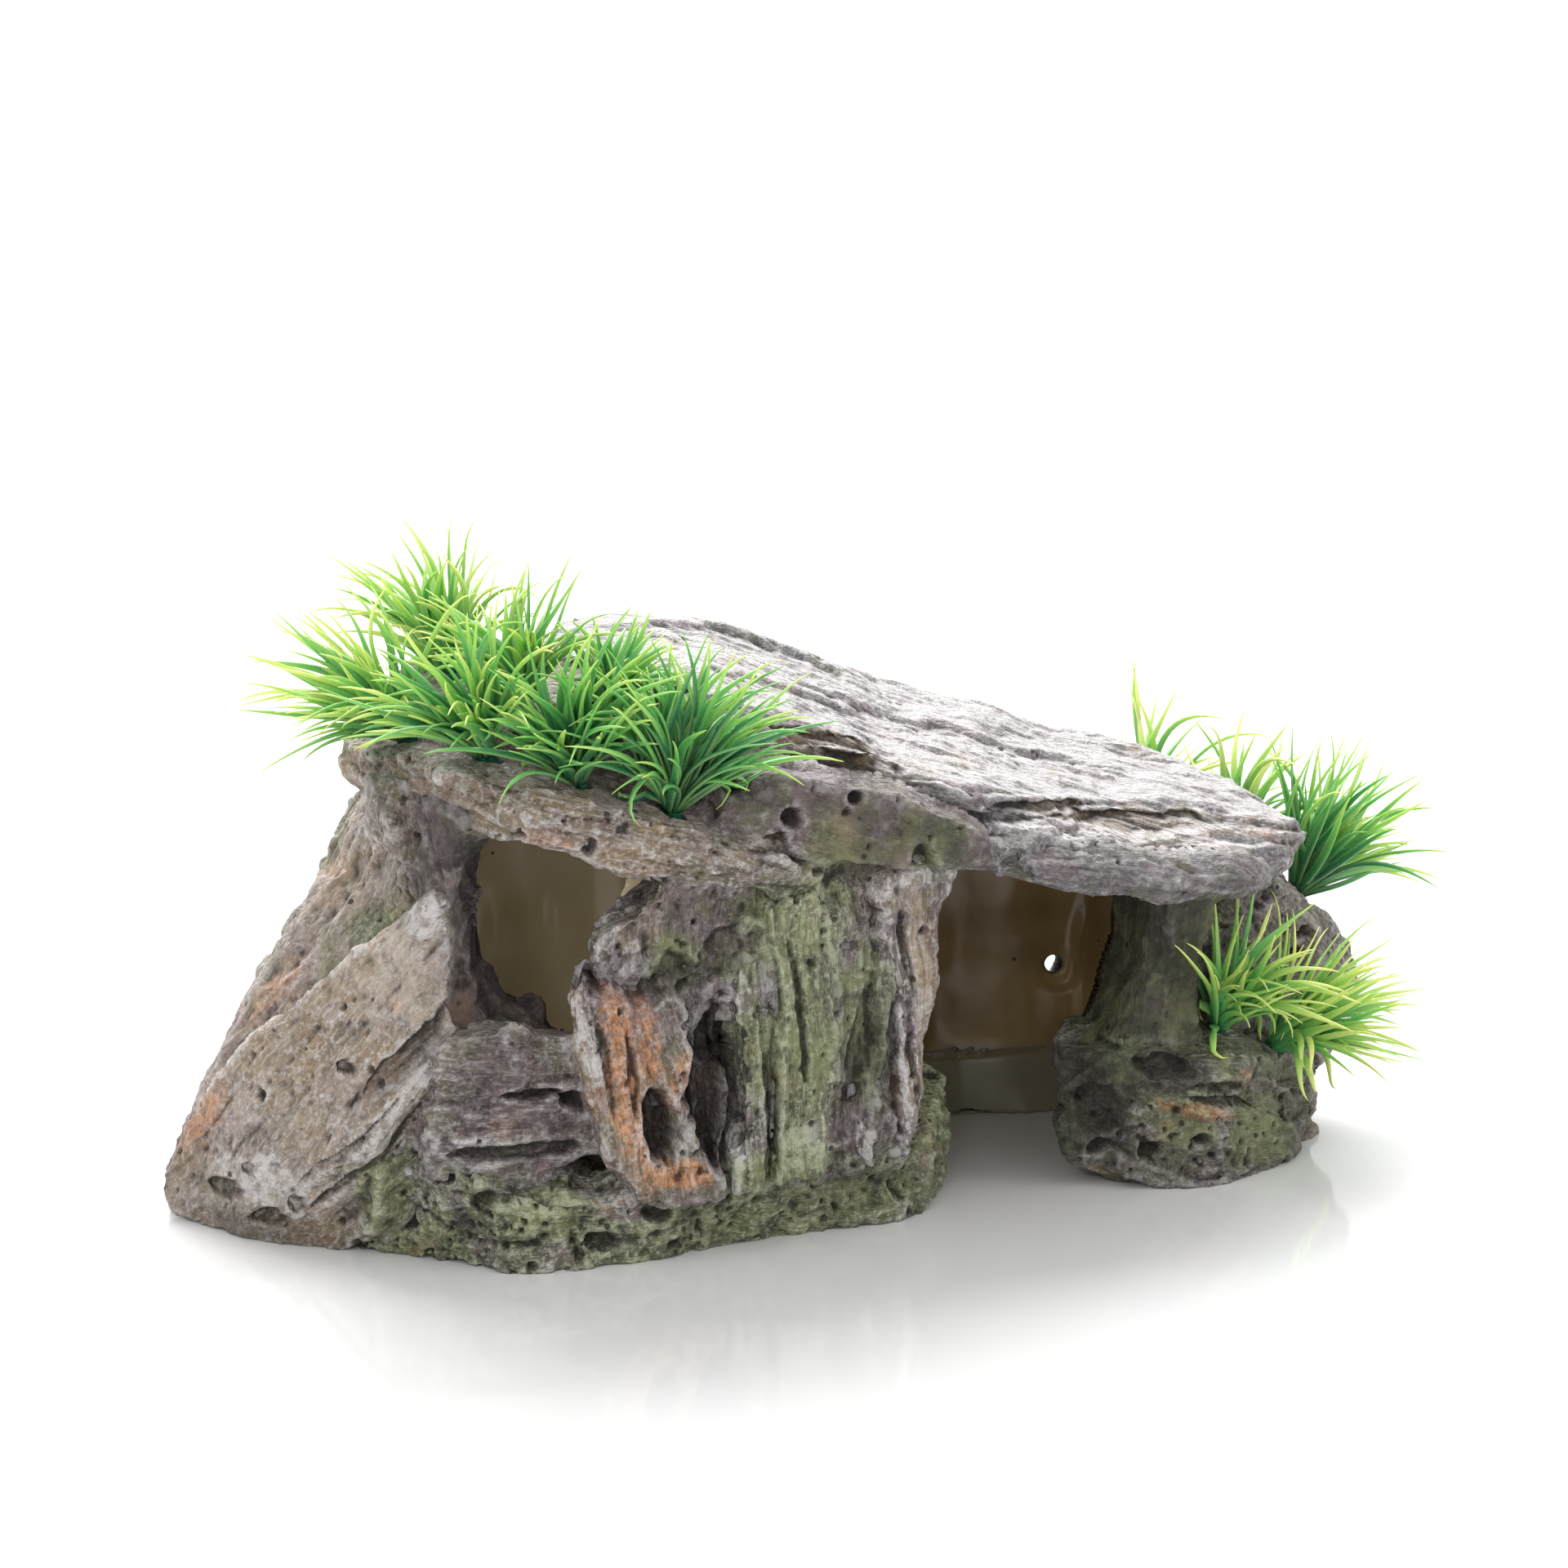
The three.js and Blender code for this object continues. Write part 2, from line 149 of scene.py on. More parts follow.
def smoothstep(low, high, value):
    t = np.clip((value - low) / (high - low), 0, 1)
    return t * t * (3 - 2 * t)


# ---- mesh helpers ----


def coordinates(mesh):
    co = np.empty(len(mesh.vertices) * 3, np.float32)
    mesh.vertices.foreach_get("co", co)
    return co.reshape(-1, 3).astype(float)


def set_coordinates(mesh, co):
    mesh.vertices.foreach_set("co", co.astype(np.float32).ravel())
    mesh.update()


def normals(mesh):
    no = np.empty(len(mesh.vertices) * 3, np.float32)
    mesh.vertex_normals.foreach_get("vector", no)
    return no.reshape(-1, 3).astype(float)


def edge_pairs(mesh):
    pairs = np.empty(len(mesh.edges) * 2, np.int32)
    mesh.edges.foreach_get("vertices", pairs)
    return pairs.reshape(-1, 2)


def neighbour_mean(values, pairs):
    """The mean of each vertex's neighbours."""
    count = len(values)
    a, b = pairs[:, 0], pairs[:, 1]
    degree = np.maximum(np.bincount(a, minlength=count) + np.bincount(b, minlength=count), 1)
    if values.ndim == 1:
        return (
            np.bincount(a, values[b], count) + np.bincount(b, values[a], count)
        ) / degree
    columns = [neighbour_mean(values[:, k], pairs) for k in range(values.shape[1])]
    return np.stack(columns, axis=1)


def relaxed(values, pairs, steps, strength=0.6):
    for _ in range(steps):
        values = values + strength * (neighbour_mean(values, pairs) - values)
    return values


def add_object(name, data):
    made = bpy.data.objects.new(name, data)
    bpy.context.scene.collection.objects.link(made)
    return made


def remeshed_copy(node, name, voxel):
    """A voxel-remeshed copy of a CAD node's solid."""
    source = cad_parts[node]
    piece = add_object(name, source.data.copy())
    piece.data.materials.clear()
    remesh = piece.modifiers.new("remesh", "REMESH")
    remesh.mode = "VOXEL"
    remesh.voxel_size = voxel
    depsgraph = bpy.context.evaluated_depsgraph_get()
    baked = bpy.data.meshes.new_from_object(piece.evaluated_get(depsgraph))
    piece.modifiers.clear()
    piece.data = baked
    return piece


def write_attribute(mesh, name, values):
    kind = "FLOAT" if values.ndim == 1 else "FLOAT_VECTOR"
    key = "value" if values.ndim == 1 else "vector"
    attribute = mesh.attributes.new(name, kind, "POINT")
    attribute.data.foreach_set(key, values.astype(np.float32).ravel())


def unit(vector):
    vector = np.array(vector, float)
    return vector / np.linalg.norm(vector)


# ---- stones ----

# Each stone's build: grain is the way its fibres run and bed is across its layers. Sizes are in
# mm, and so are the depths of what breaks the surface (fibre to flakes). The washes (moss to light;
# dark is painted shade, light is pale tan paint with painted light) and the strength of the painted
# highlight, white dry-brush dashes on faces turned to the key light, are strengths from 0 to 1.
PLAIN = dict(
    slot="mauve_paint", voxel=0.6, soft=2, fillet=4.5, grain=(0, 0, 1), bed=(0, 1, 0), fibre=0.45,
    terrace=0.7, layer=4, steps=0.4, lumps=1, flakes=0.4, flake_size=11, pits=0.3, moss=0, ochre=0,
    rust=0, pale=0.2, dark=0, light=0, painted_sunlight=0.25, grit=0.42, stairs=0,
)
STONES = {
    "roof_slab": dict(
        slot="slate_paint", voxel=0.62, grain=(1, -0.3, -0.2), bed=(0.19, 0, 1), layer=2.7, steps=0.35,
        terrace=0.45, fibre=0.36, stairs=2, lumps=0.8, flakes=0.2, flake_size=18, pits=0.08, pale=0.35,
        ochre=0.1, painted_sunlight=1, dark=0.05, grit=0.15, fillet=3,
    ),
    "roof_leaf": dict(
        slot="slate_paint", grain=(1, 0, -0.25), bed=(0.25, -0.1, 1), layer=2.4, lumps=0.4, pits=0.1,
        pale=0.15, flakes=0.2, dark=0.45,
    ),
    "shelf_slab": dict(
        slot="ochre_paint", grain=(1, -0.2, -0.28), bed=(0.28, -0.1, 1), layer=3, steps=0.6, fibre=0.4,
        pits=0.4, ochre=0.5, moss=0.2, pale=0.45, stairs=1.5,
    ),
    "shelf_knob": dict(slot="ochre_paint", lumps=1.2, pits=0.5, ochre=0.2, fibre=0.2),
    "left_shoulder": dict(
        slot="ochre_paint", grain=(1, 0, 0), bed=(0, 0, 1), lumps=1.4, pits=0.4, ochre=0.3, moss=0.5,
    ),
    "brow_block": dict(
        grain=(1, 0, -0.35), bed=(0.3, -0.3, 1), layer=7, steps=0.3, fibre=0.3, terrace=0.6, lumps=1.3,
        moss=0.25, pale=0.15, ochre=0.1, dark=0.3,
    ),
    "left_leaf_front": dict(
        slot="ochre_paint", grain=(0.62, -0.35, 0.75), bed=(0.5, -0.56, -0.67), fibre=0.42,
        terrace=0.8, flakes=0.15, pits=0.2, ochre=0.35, moss=0.1, pale=0.45, light=0.4, fillet=3,
    ),
    "left_leaf_back": dict(
        voxel=0.66, grain=(0.55, -0.2, 0.8), bed=(-0.7, -0.5, 0.3), layer=5, fibre=0.35, terrace=0.8,
        lumps=1.4, pits=0.25, ochre=0.3, rust=0.12, moss=0.25, pale=0.35, light=0.6, fillet=3,
    ),
    "left_jamb": dict(
        grain=(0.25, -0.1, -1), bed=(0.3, -1, 0), fibre=0.25, terrace=0.5, lumps=1.8, flakes=0.1,
        pits=0.1, pale=0.05, dark=0.85, fillet=6,
    ),
    "base_left": dict(
        slot="moss_paint", grain=(1, 0, 0.05), bed=(0, -0.2, 1), layer=5.5, steps=0.7, fibre=0.15,
        terrace=0.9, lumps=2.4, flakes=0.8, pits=1, flake_size=7, moss=0.8, ochre=0.2, pale=0.6,
        grit=0.6,
    ),
    "sill_block": dict(
        grain=(1, -0.1, -0.04), bed=(0.03, -0.1, 1), layer=6, steps=1, terrace=0.9, lumps=1.2,
        pits=0.25, ochre=0.15, pale=0.25,
    ),
    "orange_flake": dict(
        slot="rust_paint", voxel=0.5, grain=(0.16, 0, -1), bed=(-0.5, -1, 0), fibre=0.8, terrace=0.8,
        lumps=1.2, pits=0.2, rust=0.1, ochre=0.25, pale=0.25, fillet=1.5,
    ),
    "thin_ridge": dict(
        slot="moss_paint", voxel=0.5, grain=(-0.12, 0, 1), bed=(1, -0.4, 0.1), fibre=0.6, terrace=0.3,
        lumps=0.7, pits=0.4, moss=0.6, pale=0.5, fillet=0.4,
    ),
    "green_ridge": dict(
        slot="moss_paint", voxel=0.5, grain=(-0.06, 0, 1), bed=(1, -0.5, 0.05), fibre=0.8, terrace=0.5,
        lumps=0.8, moss=0.8, pale=0.55, fillet=0.8,
    ),
    "edge_flake": dict(
        voxel=0.5, grain=(-0.1, 0, 1), bed=(1, -0.3, 0.1), fibre=0.7, terrace=0.6, lumps=1.2,
        ochre=0.2, moss=0.2, pale=0.5, fillet=7,
    ),
    "pillar_core": dict(
        voxel=0.55, grain=(0.02, 0, 1), bed=(1, -0.7, 0), fibre=0.7, terrace=1, lumps=1.6, pits=0.4,
        moss=0.3, pale=0.3, ochre=0.1, dark=0.15,
    ),
    "base_right": dict(
        slot="moss_paint", grain=(1, 0, 0), bed=(0, 0, 1), layer=7, steps=0.3, fibre=0.15, lumps=2.4,
        pits=0.9, moss=0.8, ochre=0.35, flakes=0.7, flake_size=8, pale=0.5, grit=0.6,
    ),
    "right_foot": dict(
        slot="moss_paint", grain=(1, 0.3, -0.2), bed=(0.2, -0.4, 1), layer=6, steps=0.9, fibre=0.6,
        terrace=1.1, lumps=2.2, pits=0.7, moss=0.35, ochre=0.15, rust=0.05, dark=0.2,
    ),
    "right_column": dict(bed=(1, -0.6, 0), lumps=1.3, moss=0.9, pale=0, dark=0.75, fibre=0.2),
    "right_rear_rock": dict(
        grain=(0.6, 0.3, -0.7), bed=(0.6, -0.3, 0.7), layer=6, fibre=0.4, lumps=2.4, flakes=0.8,
        pits=0.7, moss=0.25, ochre=0.1, pale=0.3,
    ),
    "rear_wall": dict(
        slot="bare_resin", voxel=0.85, grain=(1, 0, 0.1), bed=(0.1, 0.6, 1), layer=8, steps=1,
        terrace=1.6, lumps=3, flakes=0.8, pits=0.4, moss=0.4, ochre=0.25, pale=0.3,
    ),
    "rear_skirt": dict(
        slot="bare_resin", voxel=0.7, grain=(1, 0, 0), bed=(0, 0, 1), lumps=0.7, pits=0.1, steps=0.2,
        fibre=0.2, terrace=0.3, moss=0.3,
    ),
}

# Hollows pressed into a stone: place in its box (0 to 1 along X, Y, Z), radii in mm, tilt about Y
# in degrees, depth in mm (below 0 it swells) and the way it is pressed, into the front if not said.
INTO = (0, 1, 0)
DOWN = (0, 0, -1)
RIGHT = (1, 0, 0)
HOLLOWS = {
    "orange_flake": (
        ((0.6, 0, 0.33), (3.2, 9, 7.5), -6, 8),
        ((1, 0, 0.42), (6.5, 12, 15), -6, 9),
        ((1.08, 0, 0.72), (9, 12, 12), -30, 9),
        ((0, 0.5, 1), (4, 12, 5), 0, 3, DOWN),
        ((0.6, 0, 1), (20, 12, 7), 0, 4.5),
        ((0.4, 0, 0.55), (1.2, 9, 9), -10, 1.6),
        ((0.22, 0, 0.6), (1, 9, 12), -12, 1.2),
    ),
    "pillar_core": (
        ((0.335, 0.1, 0.33), (5.4, 12, 15.5), 0, 7),
        ((0.02, 0.75, 0.97), (11, 36, 12), 20, 8.5, RIGHT),
        ((0.21, 0.05, 0.66), (5, 9, 5), 0, 2.4),
        ((0.36, 0.05, 0.72), (4, 9, 6), 20, 1.8),
        ((0.62, 0.05, 0.62), (3, 9, 12), 6, 2),
        ((0.78, 0.05, 0.4), (3.5, 9, 14), 8, 2),
        ((0.88, 0.05, 0.5), (2.6, 14, 26), 2, -2.2),
    ),
    "green_ridge": (
        ((0, 0, 0.72), (1.8, 9, 9), -6, 5),
        ((-0.05, 0, 0.4), (1.5, 9, 20), -4, 4),
        ((0.45, 0, 0.6), (1, 9, 16), -6, 1.4),
    ),
    "thin_ridge": (
        ((0, 0, 0.5), (2.4, 12, 30), -8, 2.6, RIGHT),
        ((1, 0, 0.85), (1.6, 9, 6), -6, 5),
        ((1.05, 0, 0.45), (1.3, 9, 18), -6, 4),
    ),
    "roof_slab": (
        ((0.29, 0.1, 0.68), (15, 14, 4.5), 15, 3.2),
        ((0.62, 0.12, 0.385), (22, 12, 1.2), 9, 1.8),
        ((0.74, 0.2, 0.295), (26, 14, 1.6), 8, 2.4),
        ((0.5, 0.05, 0.42), (12, 12, 1), 12, 1.6),
        ((0.55, 0.6, 0.5), (34, 6, 20), 16, 1.4, DOWN),
        ((0.35, 0.5, 0.75), (24, 5, 20), 16, 1.3, DOWN),
        ((0.3, 0.85, 0.8), (24, 7, 20), 16, 1.6, DOWN),
    ),
    "brow_block": (
        ((0.54, 0.09, 0.63), (2, 9, 1.5), 0, 3),
        ((0.34, 0.06, 0.53), (2.3, 9, 2), 30, 3.5),
        ((0.27, 0.03, 0.36), (1.9, 9, 1.7), 0, 3),
        ((0.3, 0.03, 0.38), (1.8, 9, 1.9), 0, 3),
        ((0.18, 0.03, 0.78), (1.5, 9, 1.5), 0, 2.5),
        ((0.76, 0.29, 0.16), (3.6, 9, 4.6), 0, 3.5),
    ),
    "left_jamb": (((0.45, 0, 0.45), (6, 12, 24), -10, 3),),
    "sill_block": (
        ((0.62, 0, 0.55), (7, 9, 1.2), 2, 3),
        ((0.85, 0, 0.5), (3.2, 9, 2), 0, 4),
        ((0.5, 0, 0.2), (15, 9, 1.6), -2, 2.5),
    ),
    "base_left": (
        ((0.28, 0, 0.55), (3.2, 9, 3.4), 0, 3),
        ((0.78, 0, 0.4), (3, 9, 2.6), 0, 3),
        ((0.62, 0, 0.2), (3.6, 9, 2), 10, 2.6),
        ((0.2, 0, 0.2), (2.4, 9, 2.8), 0, 2.6),
    ),
    "left_leaf_front": (
        ((0.78, 0.1, 0.58), (1.6, 60, 15), 40, 2.2),
        ((0.93, 0.1, 0.4), (1.8, 60, 10), 34, 2.6),
        ((0.66, 0.2, 0.28), (1, 60, 16), 36, 1.4),
        ((0.56, 0.2, 0.3), (0.9, 60, 14), 38, 1.1),
        ((0.8, 0.1, 0.2), (7, 60, 10), 20, -2.2),
        ((0.19, 0.2, 0.13), (3, 60, 2.4), 0, 2.8),
        ((0.33, 0.2, 0.07), (4.2, 60, 2.2), 0, 2.4),
        ((0.42, 0.2, 0.12), (1.8, 60, 1.8), 0, 2),
        ((0.28, 0.2, 0.2), (1.4, 60, 1.4), 0, 1.8),
        ((0.6, 0.2, 0.52), (1.5, 60, 1.3), 0, 2),
    ),
    "left_leaf_back": (((0.72, 0.1, 0.7), (2.4, 12, 4.5), 25, 3),),
    "right_foot": (
        ((0.3, 0, 0.82), (8, 9, 3), 14, 5),
        ((0.12, 0.1, 0.55), (5, 12, 6), 0, 2.5),
        ((0.55, 0, 0.5), (12, 12, 1.3), 16, 2.2),
        ((0.8, 0.1, 0.4), (2.4, 12, 2), 0, 2.4),
        ((0.13, 0.1, 0.28), (2.4, 9, 2.2), 0, 3),
        ((0.27, 0.05, 0.24), (2.2, 9, 1.8), 0, 3),
        ((0.42, 0.05, 0.3), (1.6, 9, 1.6), 0, 2.4),
        ((0.5, 0.05, 0.62), (9, 9, 1.2), 12, 1.8),
    ),
    "edge_flake": (
        ((0.05, 0, 0.5), (5.5, 16, 34), -6, 3.2),
        ((0.5, 0, 0.75), (1, 12, 10), -8, 1.2),
        ((0.62, 0, 0.35), (0.9, 12, 12), -8, 1),
    ),
    "right_column": (((0.2, 0, 0.6), (2, 9, 12), 0, 1.5),),
}

# Dabs of paint, dark ones being painted shade and light ones pale tan with painted light: wash, place in
# the stone's box, radii in mm, tilt about Y and strength.
DABS = {
    "orange_flake": (
        ("rust", (0.33, 0, 0.6), (3.8, 12, 17), -10, 1),
        ("rust", (0.5, 0, 0.66), (2.6, 12, 10), -8, 0.9),
        ("rust", (0.46, 0, 0.3), (1.8, 9, 9), -8, 0.8),
        ("rust", (0.72, 0, 0.5), (3.2, 9, 6), 0, 0.8),
        ("rust", (0.68, 0, 0.13), (6.5, 12, 3.2), 6, 1.3),
        ("ochre", (0.08, 0, 0.6), (2.2, 12, 20), -8, 0.9),
        ("ochre", (0.4, 0, 0.4), (5, 12, 20), -8, 0.8),
        ("pale", (0.1, 0, 0.72), (2.6, 12, 10), -8, 0.9),
    ),
    "shelf_slab": (
        ("rust", (0.31, 0, 0.5), (5, 9, 2.4), 15, 0.6),
        ("ochre", (0.3, 0.3, 0.7), (30, 20, 9), 15, 0.5),
    ),
    "roof_slab": (
        ("ochre", (0.29, 0.1, 0.68), (16, 14, 5.5), 15, 0.9),
        ("ochre", (0.74, 0.2, 0.295), (26, 14, 2.2), 8, 0.8),
        ("ochre", (0.62, 0.1, 0.38), (14, 14, 2), 10, 0.5),
        ("ochre", (0.3, 0.5, 0.85), (8, 6, 6), 16, 0.4),
        ("pale", (0.52, 0.05, 0.36), (20, 14, 3), 12, 0.9),
        ("pale", (0.7, 0.12, 0.24), (24, 14, 1.5), 8, 0.7),
    ),
    "brow_block": (("moss", (0.52, 0, 0.24), (9, 12, 5), 0, 0.9),),
    "left_leaf_front": (
        ("pale", (0.31, 0.2, 0.17), (9, 60, 7), 20, 1),
        ("dark", (0.33, 0.2, 0.04), (12, 60, 3.5), 0, 0.5),
        ("ochre", (0.4, 0.4, 0.55), (12, 60, 13), 40, 0.8),
        ("rust", (0.13, 0.6, 0.32), (3.5, 60, 9), 30, 0.7),
        ("light", (0.7, 0.3, 0.8), (16, 60, 12), 40, 1),
        ("light", (0.3, 0.5, 0.45), (10, 60, 14), 40, 0.7),
        ("pale", (0.78, 0.1, 0.47), (2.4, 60, 13), 38, 1),
        ("pale", (0.9, 0.1, 0.93), (3, 60, 7), 30, 1),
        ("dark", (0.8, 0.1, 0.58), (2.4, 60, 14), 40, 0.6),
        ("moss", (0.78, 0.1, 0.2), (9, 60, 11), 20, 1),
        ("dark", (0.9, 0.1, 0.33), (4, 60, 9), 20, 0.5),
    ),
    "left_leaf_back": (
        ("moss", (0.68, 0.1, 0.7), (9, 20, 9), 30, 1),
        ("rust", (0.3, 0.3, 0.5), (3.2, 20, 15), 38, 0.6),
        ("ochre", (0.55, 0.3, 0.8), (5, 20, 12), 40, 0.8),
    ),
    "pillar_core": (
        ("dark", (0.335, 0.1, 0.32), (6, 12, 16), 0, 1),
        ("dark", (0.3, 0.1, 0.66), (3, 12, 4), 20, 0.7),
        ("moss", (0.62, 0, 0.5), (6, 12, 30), 0, 0.9),
        ("pale", (0.68, 0, 0.75), (5, 12, 12), 0, 0.8),
        ("dark", (0.78, 0, 0.4), (4, 12, 14), 8, 0.4),
        ("moss", (0.21, 0, 0.7), (7, 9, 7), 0, 1),
        ("moss", (0.78, 0, 0.45), (9, 12, 16), 0, 0.9),
        ("ochre", (0.12, 0, 0.85), (6, 9, 8), 0, 0.5),
    ),
    "edge_flake": (
        ("ochre", (0.72, 0.2, 0.78), (3.5, 12, 12), -8, 1.2),
        ("light", (0.7, 0.2, 0.7), (2.6, 12, 20), -6, 0.9),
        ("pale", (0.45, 0.1, 0.35), (1.4, 12, 18), -7, 1),
        ("pale", (0.2, 0, 0.06), (6, 12, 5), 0, 1),
        ("moss", (0.1, 0, 0.5), (3, 12, 20), 0, 0.7),
    ),
    "green_ridge": (("pale", (0.5, 0, 0.12), (6, 9, 8), 0, 1),),
    "thin_ridge": (("pale", (0.3, 0, 0.12), (4, 9, 8), 0, 0.8),),
    "base_left": (
        ("ochre", (0.52, 0, 0.5), (14, 12, 3), 0, 1),
        ("pale", (0.5, 0, 0.55), (16, 12, 3), 0, 1),
        ("pale", (0.2, 0, 0.6), (6, 12, 7), 0, 0.8),
        ("moss", (0.1, 0, 0.8), (7, 12, 9), 0, 1),
    ),
    "right_foot": (
        ("dark", (0.05, 0.1, 0.6), (14, 20, 16), 0, 1),
        ("dark", (0.3, 0, 0.8), (11, 20, 5), 12, 0.9),
        ("rust", (0.42, 0, 0.5), (11, 12, 1.6), 14, 0.7),
        ("ochre", (0.6, 0, 0.62), (10, 12, 3), 18, 1),
        ("rust", (0.66, 0, 0.62), (6, 12, 1.2), 20, 0.5),
        ("moss", (0.7, 0.1, 0.3), (12, 20, 9), 0, 1.2),
        ("moss", (0.5, 0.5, 1), (18, 20, 5), 0, 0.8),
    ),
    "right_rear_rock": (("ochre", (0.75, 0.1, 0.58), (4, 9, 4), 0, 1),),
    "base_right": (
        ("ochre", (0.85, 0.1, 0.7), (10, 14, 8), 0, 0.8),
        ("pale", (0.93, 0.2, 0.6), (6, 16, 8), 0, 0.8),
        ("pale", (0.2, 0, 0.5), (8, 12, 4), 0, 0.8),
    ),
}
WASHES_WITH_PAINTED_SHADE_AND_LIGHT = ("moss", "ochre", "rust", "pale", "dark", "light")
KEY_LIGHT_WAY = unit((0.15, 0.5, 0.85))  # faces turned this way, toward the key light, carry a painted highlight as the whitest dry brush
FIRM = ("pale", "dark", "light")  # washes laid on evenly (dark is painted shade, light is pale tan with painted light); the others come in patches
VENTS = ((0.95, 0.32),)  # the rear wall's water hole, along X and Z of its box


def grain_frame(build):
    """Three unit axes: along the grain, across it, and through the layers."""
    along = unit(build["grain"])
    bed = np.array(build["bed"], float)
    bed = unit(bed - along * (bed @ along))
    return along, np.cross(bed, along), bed


def layer_place(grain, thickness, seed):
    """Which layer each point lies in, and how far up it from 0 to 1."""
    depth = grain[:, 2] / thickness + 0.6 * fbm(grain * (0.05, 0.08, 0.08), 3, seed)
    index = np.floor(depth)
    return index, depth - index


def layered_height(grain, index, part, thickness, seed):
    """Height from about -1 to 1 of stacked layers, and where the dark slots between them are."""
    zero = np.zeros(len(index), np.int64)
    here = lattice(index.astype(np.int64), zero, zero, seed + 40)
    above = lattice(index.astype(np.int64) + 1, zero, zero, seed + 40)
    step = here + (above - here) * smoothstep(0.8, 1.0, part)
    to_slot = np.minimum(part, 1 - part) * thickness
    broken = smoothstep(0.0, 0.5, fbm(grain * (0.05, 0.05, 0.3), 2, seed + 50))
    slot = np.exp(-((to_slot / 0.4) ** 2)) * broken
    return step * 2 - 1 - slot * 0.9, slot


def stair_shift(part, no):
    """The way and share by which a sloping broken edge stands out, so that it falls in steps."""
    saw = part - smoothstep(0.84, 1.0, part) - 0.42
    sloping = smoothstep(0.2, 0.5, no[:, 2]) * smoothstep(-0.12, -0.3, no[:, 1])
    level = no * (1, 1, 0)
    level /= np.maximum(np.linalg.norm(level, axis=1), 0.1)[:, None]
    return level * (saw * sloping)[:, None]


def terraced_height(grain, seed):
    """Broken sheets like split slate: flat plateaus with crisp edges that run with the grain."""
    field = 2.6 * fbm(grain * (0.022, 0.075, 0.075), 3, seed)
    index = np.floor(field)
    return index + smoothstep(0.82, 1.0, field - index)


def fibrous_height(grain, seed):
    """Fine ridges that run along the grain, from about -1 to 1."""
    coarse = ridged(grain * (0.035, 0.3, 0.3), 2, seed) ** 1.5 * 2 - 0.8
    fine = fbm(grain * (0.09, 0.85, 0.85), 2, seed + 5)
    return 0.75 * coarse + 0.55 * fine


def flaked_height(points, size, seed):
    """Broad facets with stepped borders, from -1 to 1."""
    shift = [fbm(points / 7 + k * 31.7, 2, seed + 60 + k) for k in range(3)]
    first, second, chance = cells((points + 2.5 * np.stack(shift, axis=1)) / size, seed)
    return (chance * 2 - 1) * smoothstep(0.0, 0.1, second - first)


def pit_depth(points, spacing, radius, share, seed):
    """How deep each point lies in a round pit, from 0 to 1."""
    ragged = points + 0.5 * radius * fbm(points / radius, 2, seed + 51)[:, None]
    first, _, chance = cells(ragged / spacing, seed)
    cluster = smoothstep(0.0, 0.5, fbm(points / (spacing * 4.5), 2, seed + 21) + 0.6 * share)
    size = radius * (0.5 + np.modf(chance * 57.31 + 0.37)[0])
    inside = smoothstep(1.0, 0.6, first * spacing / size)
    return inside * (chance < share * (0.04 + 1.2 * cluster))


def search_tree(meshes):
    """One search tree of several meshes, and which of them each of its faces is from."""
    verts, faces, owner = [], [], []
    for number, mesh in enumerate(meshes):
        start = len(verts)
        verts.extend(v.co.copy() for v in mesh.vertices)
        faces.extend([i + start for i in p.vertices] for p in mesh.polygons)
        owner.extend([number] * len(mesh.polygons))
    return BVHTree.FromPolygons(verts, faces), owner


class Neighbours:
    """A search tree of every other stone's CAD faces."""

    def __init__(self, name):
        self.numbers = [number for number, other in enumerate(STONES) if other != name]
        self.tree, self.owner = search_tree(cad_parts[n].data for n in STONES if n != name)

    def distances(self, points, limit):
        """Signed distance in mm to the nearest other stone, and that stone's place in STONES."""
        found = np.full(len(points), limit)
        which = np.full(len(points), -1)
        for index, point in enumerate(points):
            spot, normal, face, distance = self.tree.find_nearest(Vector(point), limit * MM)
            if distance is not None:
                outside = (Vector(point) - spot).dot(normal) >= 0
                found[index] = distance / MM if outside else -distance / MM
                which[index] = self.numbers[self.owner[face]]
        return found, which


def placed(mm, name, place, radii, tilt):
    """Distance of each point from a placed ellipsoid's middle; 1 is on its surface."""
    low, high = (np.array(corner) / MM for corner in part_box(name))
    rel = mm - (low + np.array(place) * (high - low))
    turn = math.radians(tilt)
    x = rel[:, 0] * math.cos(turn) - rel[:, 2] * math.sin(turn)
    z = rel[:, 0] * math.sin(turn) + rel[:, 2] * math.cos(turn)
    return np.sqrt((x / radii[0]) ** 2 + (rel[:, 1] / radii[1]) ** 2 + (z / radii[2]) ** 2)


def curvature(co, no, pairs, steps):
    """How far a vertex stands out of its surroundings, in mm."""
    return ((co - relaxed(co, pairs, steps, 0.8)) * no).sum(axis=1) / MM


def warped(mm):
    """The same slow wander for every stone, so that neighbours still meet."""
    wander = [fbm(mm / 17 + k * 13.1, 3, SEED + 70 + k) for k in range(3)]
    return np.stack(wander, axis=1)


def fillet_stone(mesh, name, build, pairs):
    """Round the stone and fill its corners with others. Also how near another is, and which."""
    co = relaxed(coordinates(mesh), pairs, build["soft"])
    set_coordinates(mesh, co)
    no = normals(mesh)
    others = Neighbours(name)
    near, owner = others.distances(co, MEETS)
    reach = build["fillet"]
    over, _ = others.distances(co + no * reach * MM, reach * 2)
    push = FILL * np.clip(reach - over, 0, None) ** 2 / reach
    push = relaxed(np.clip(push, 0, FILL_MOST * reach), pairs, 6)
    co = co + no * ((push + SWELL) * MM)[:, None]
    set_coordinates(mesh, co)
    return co, near, owner


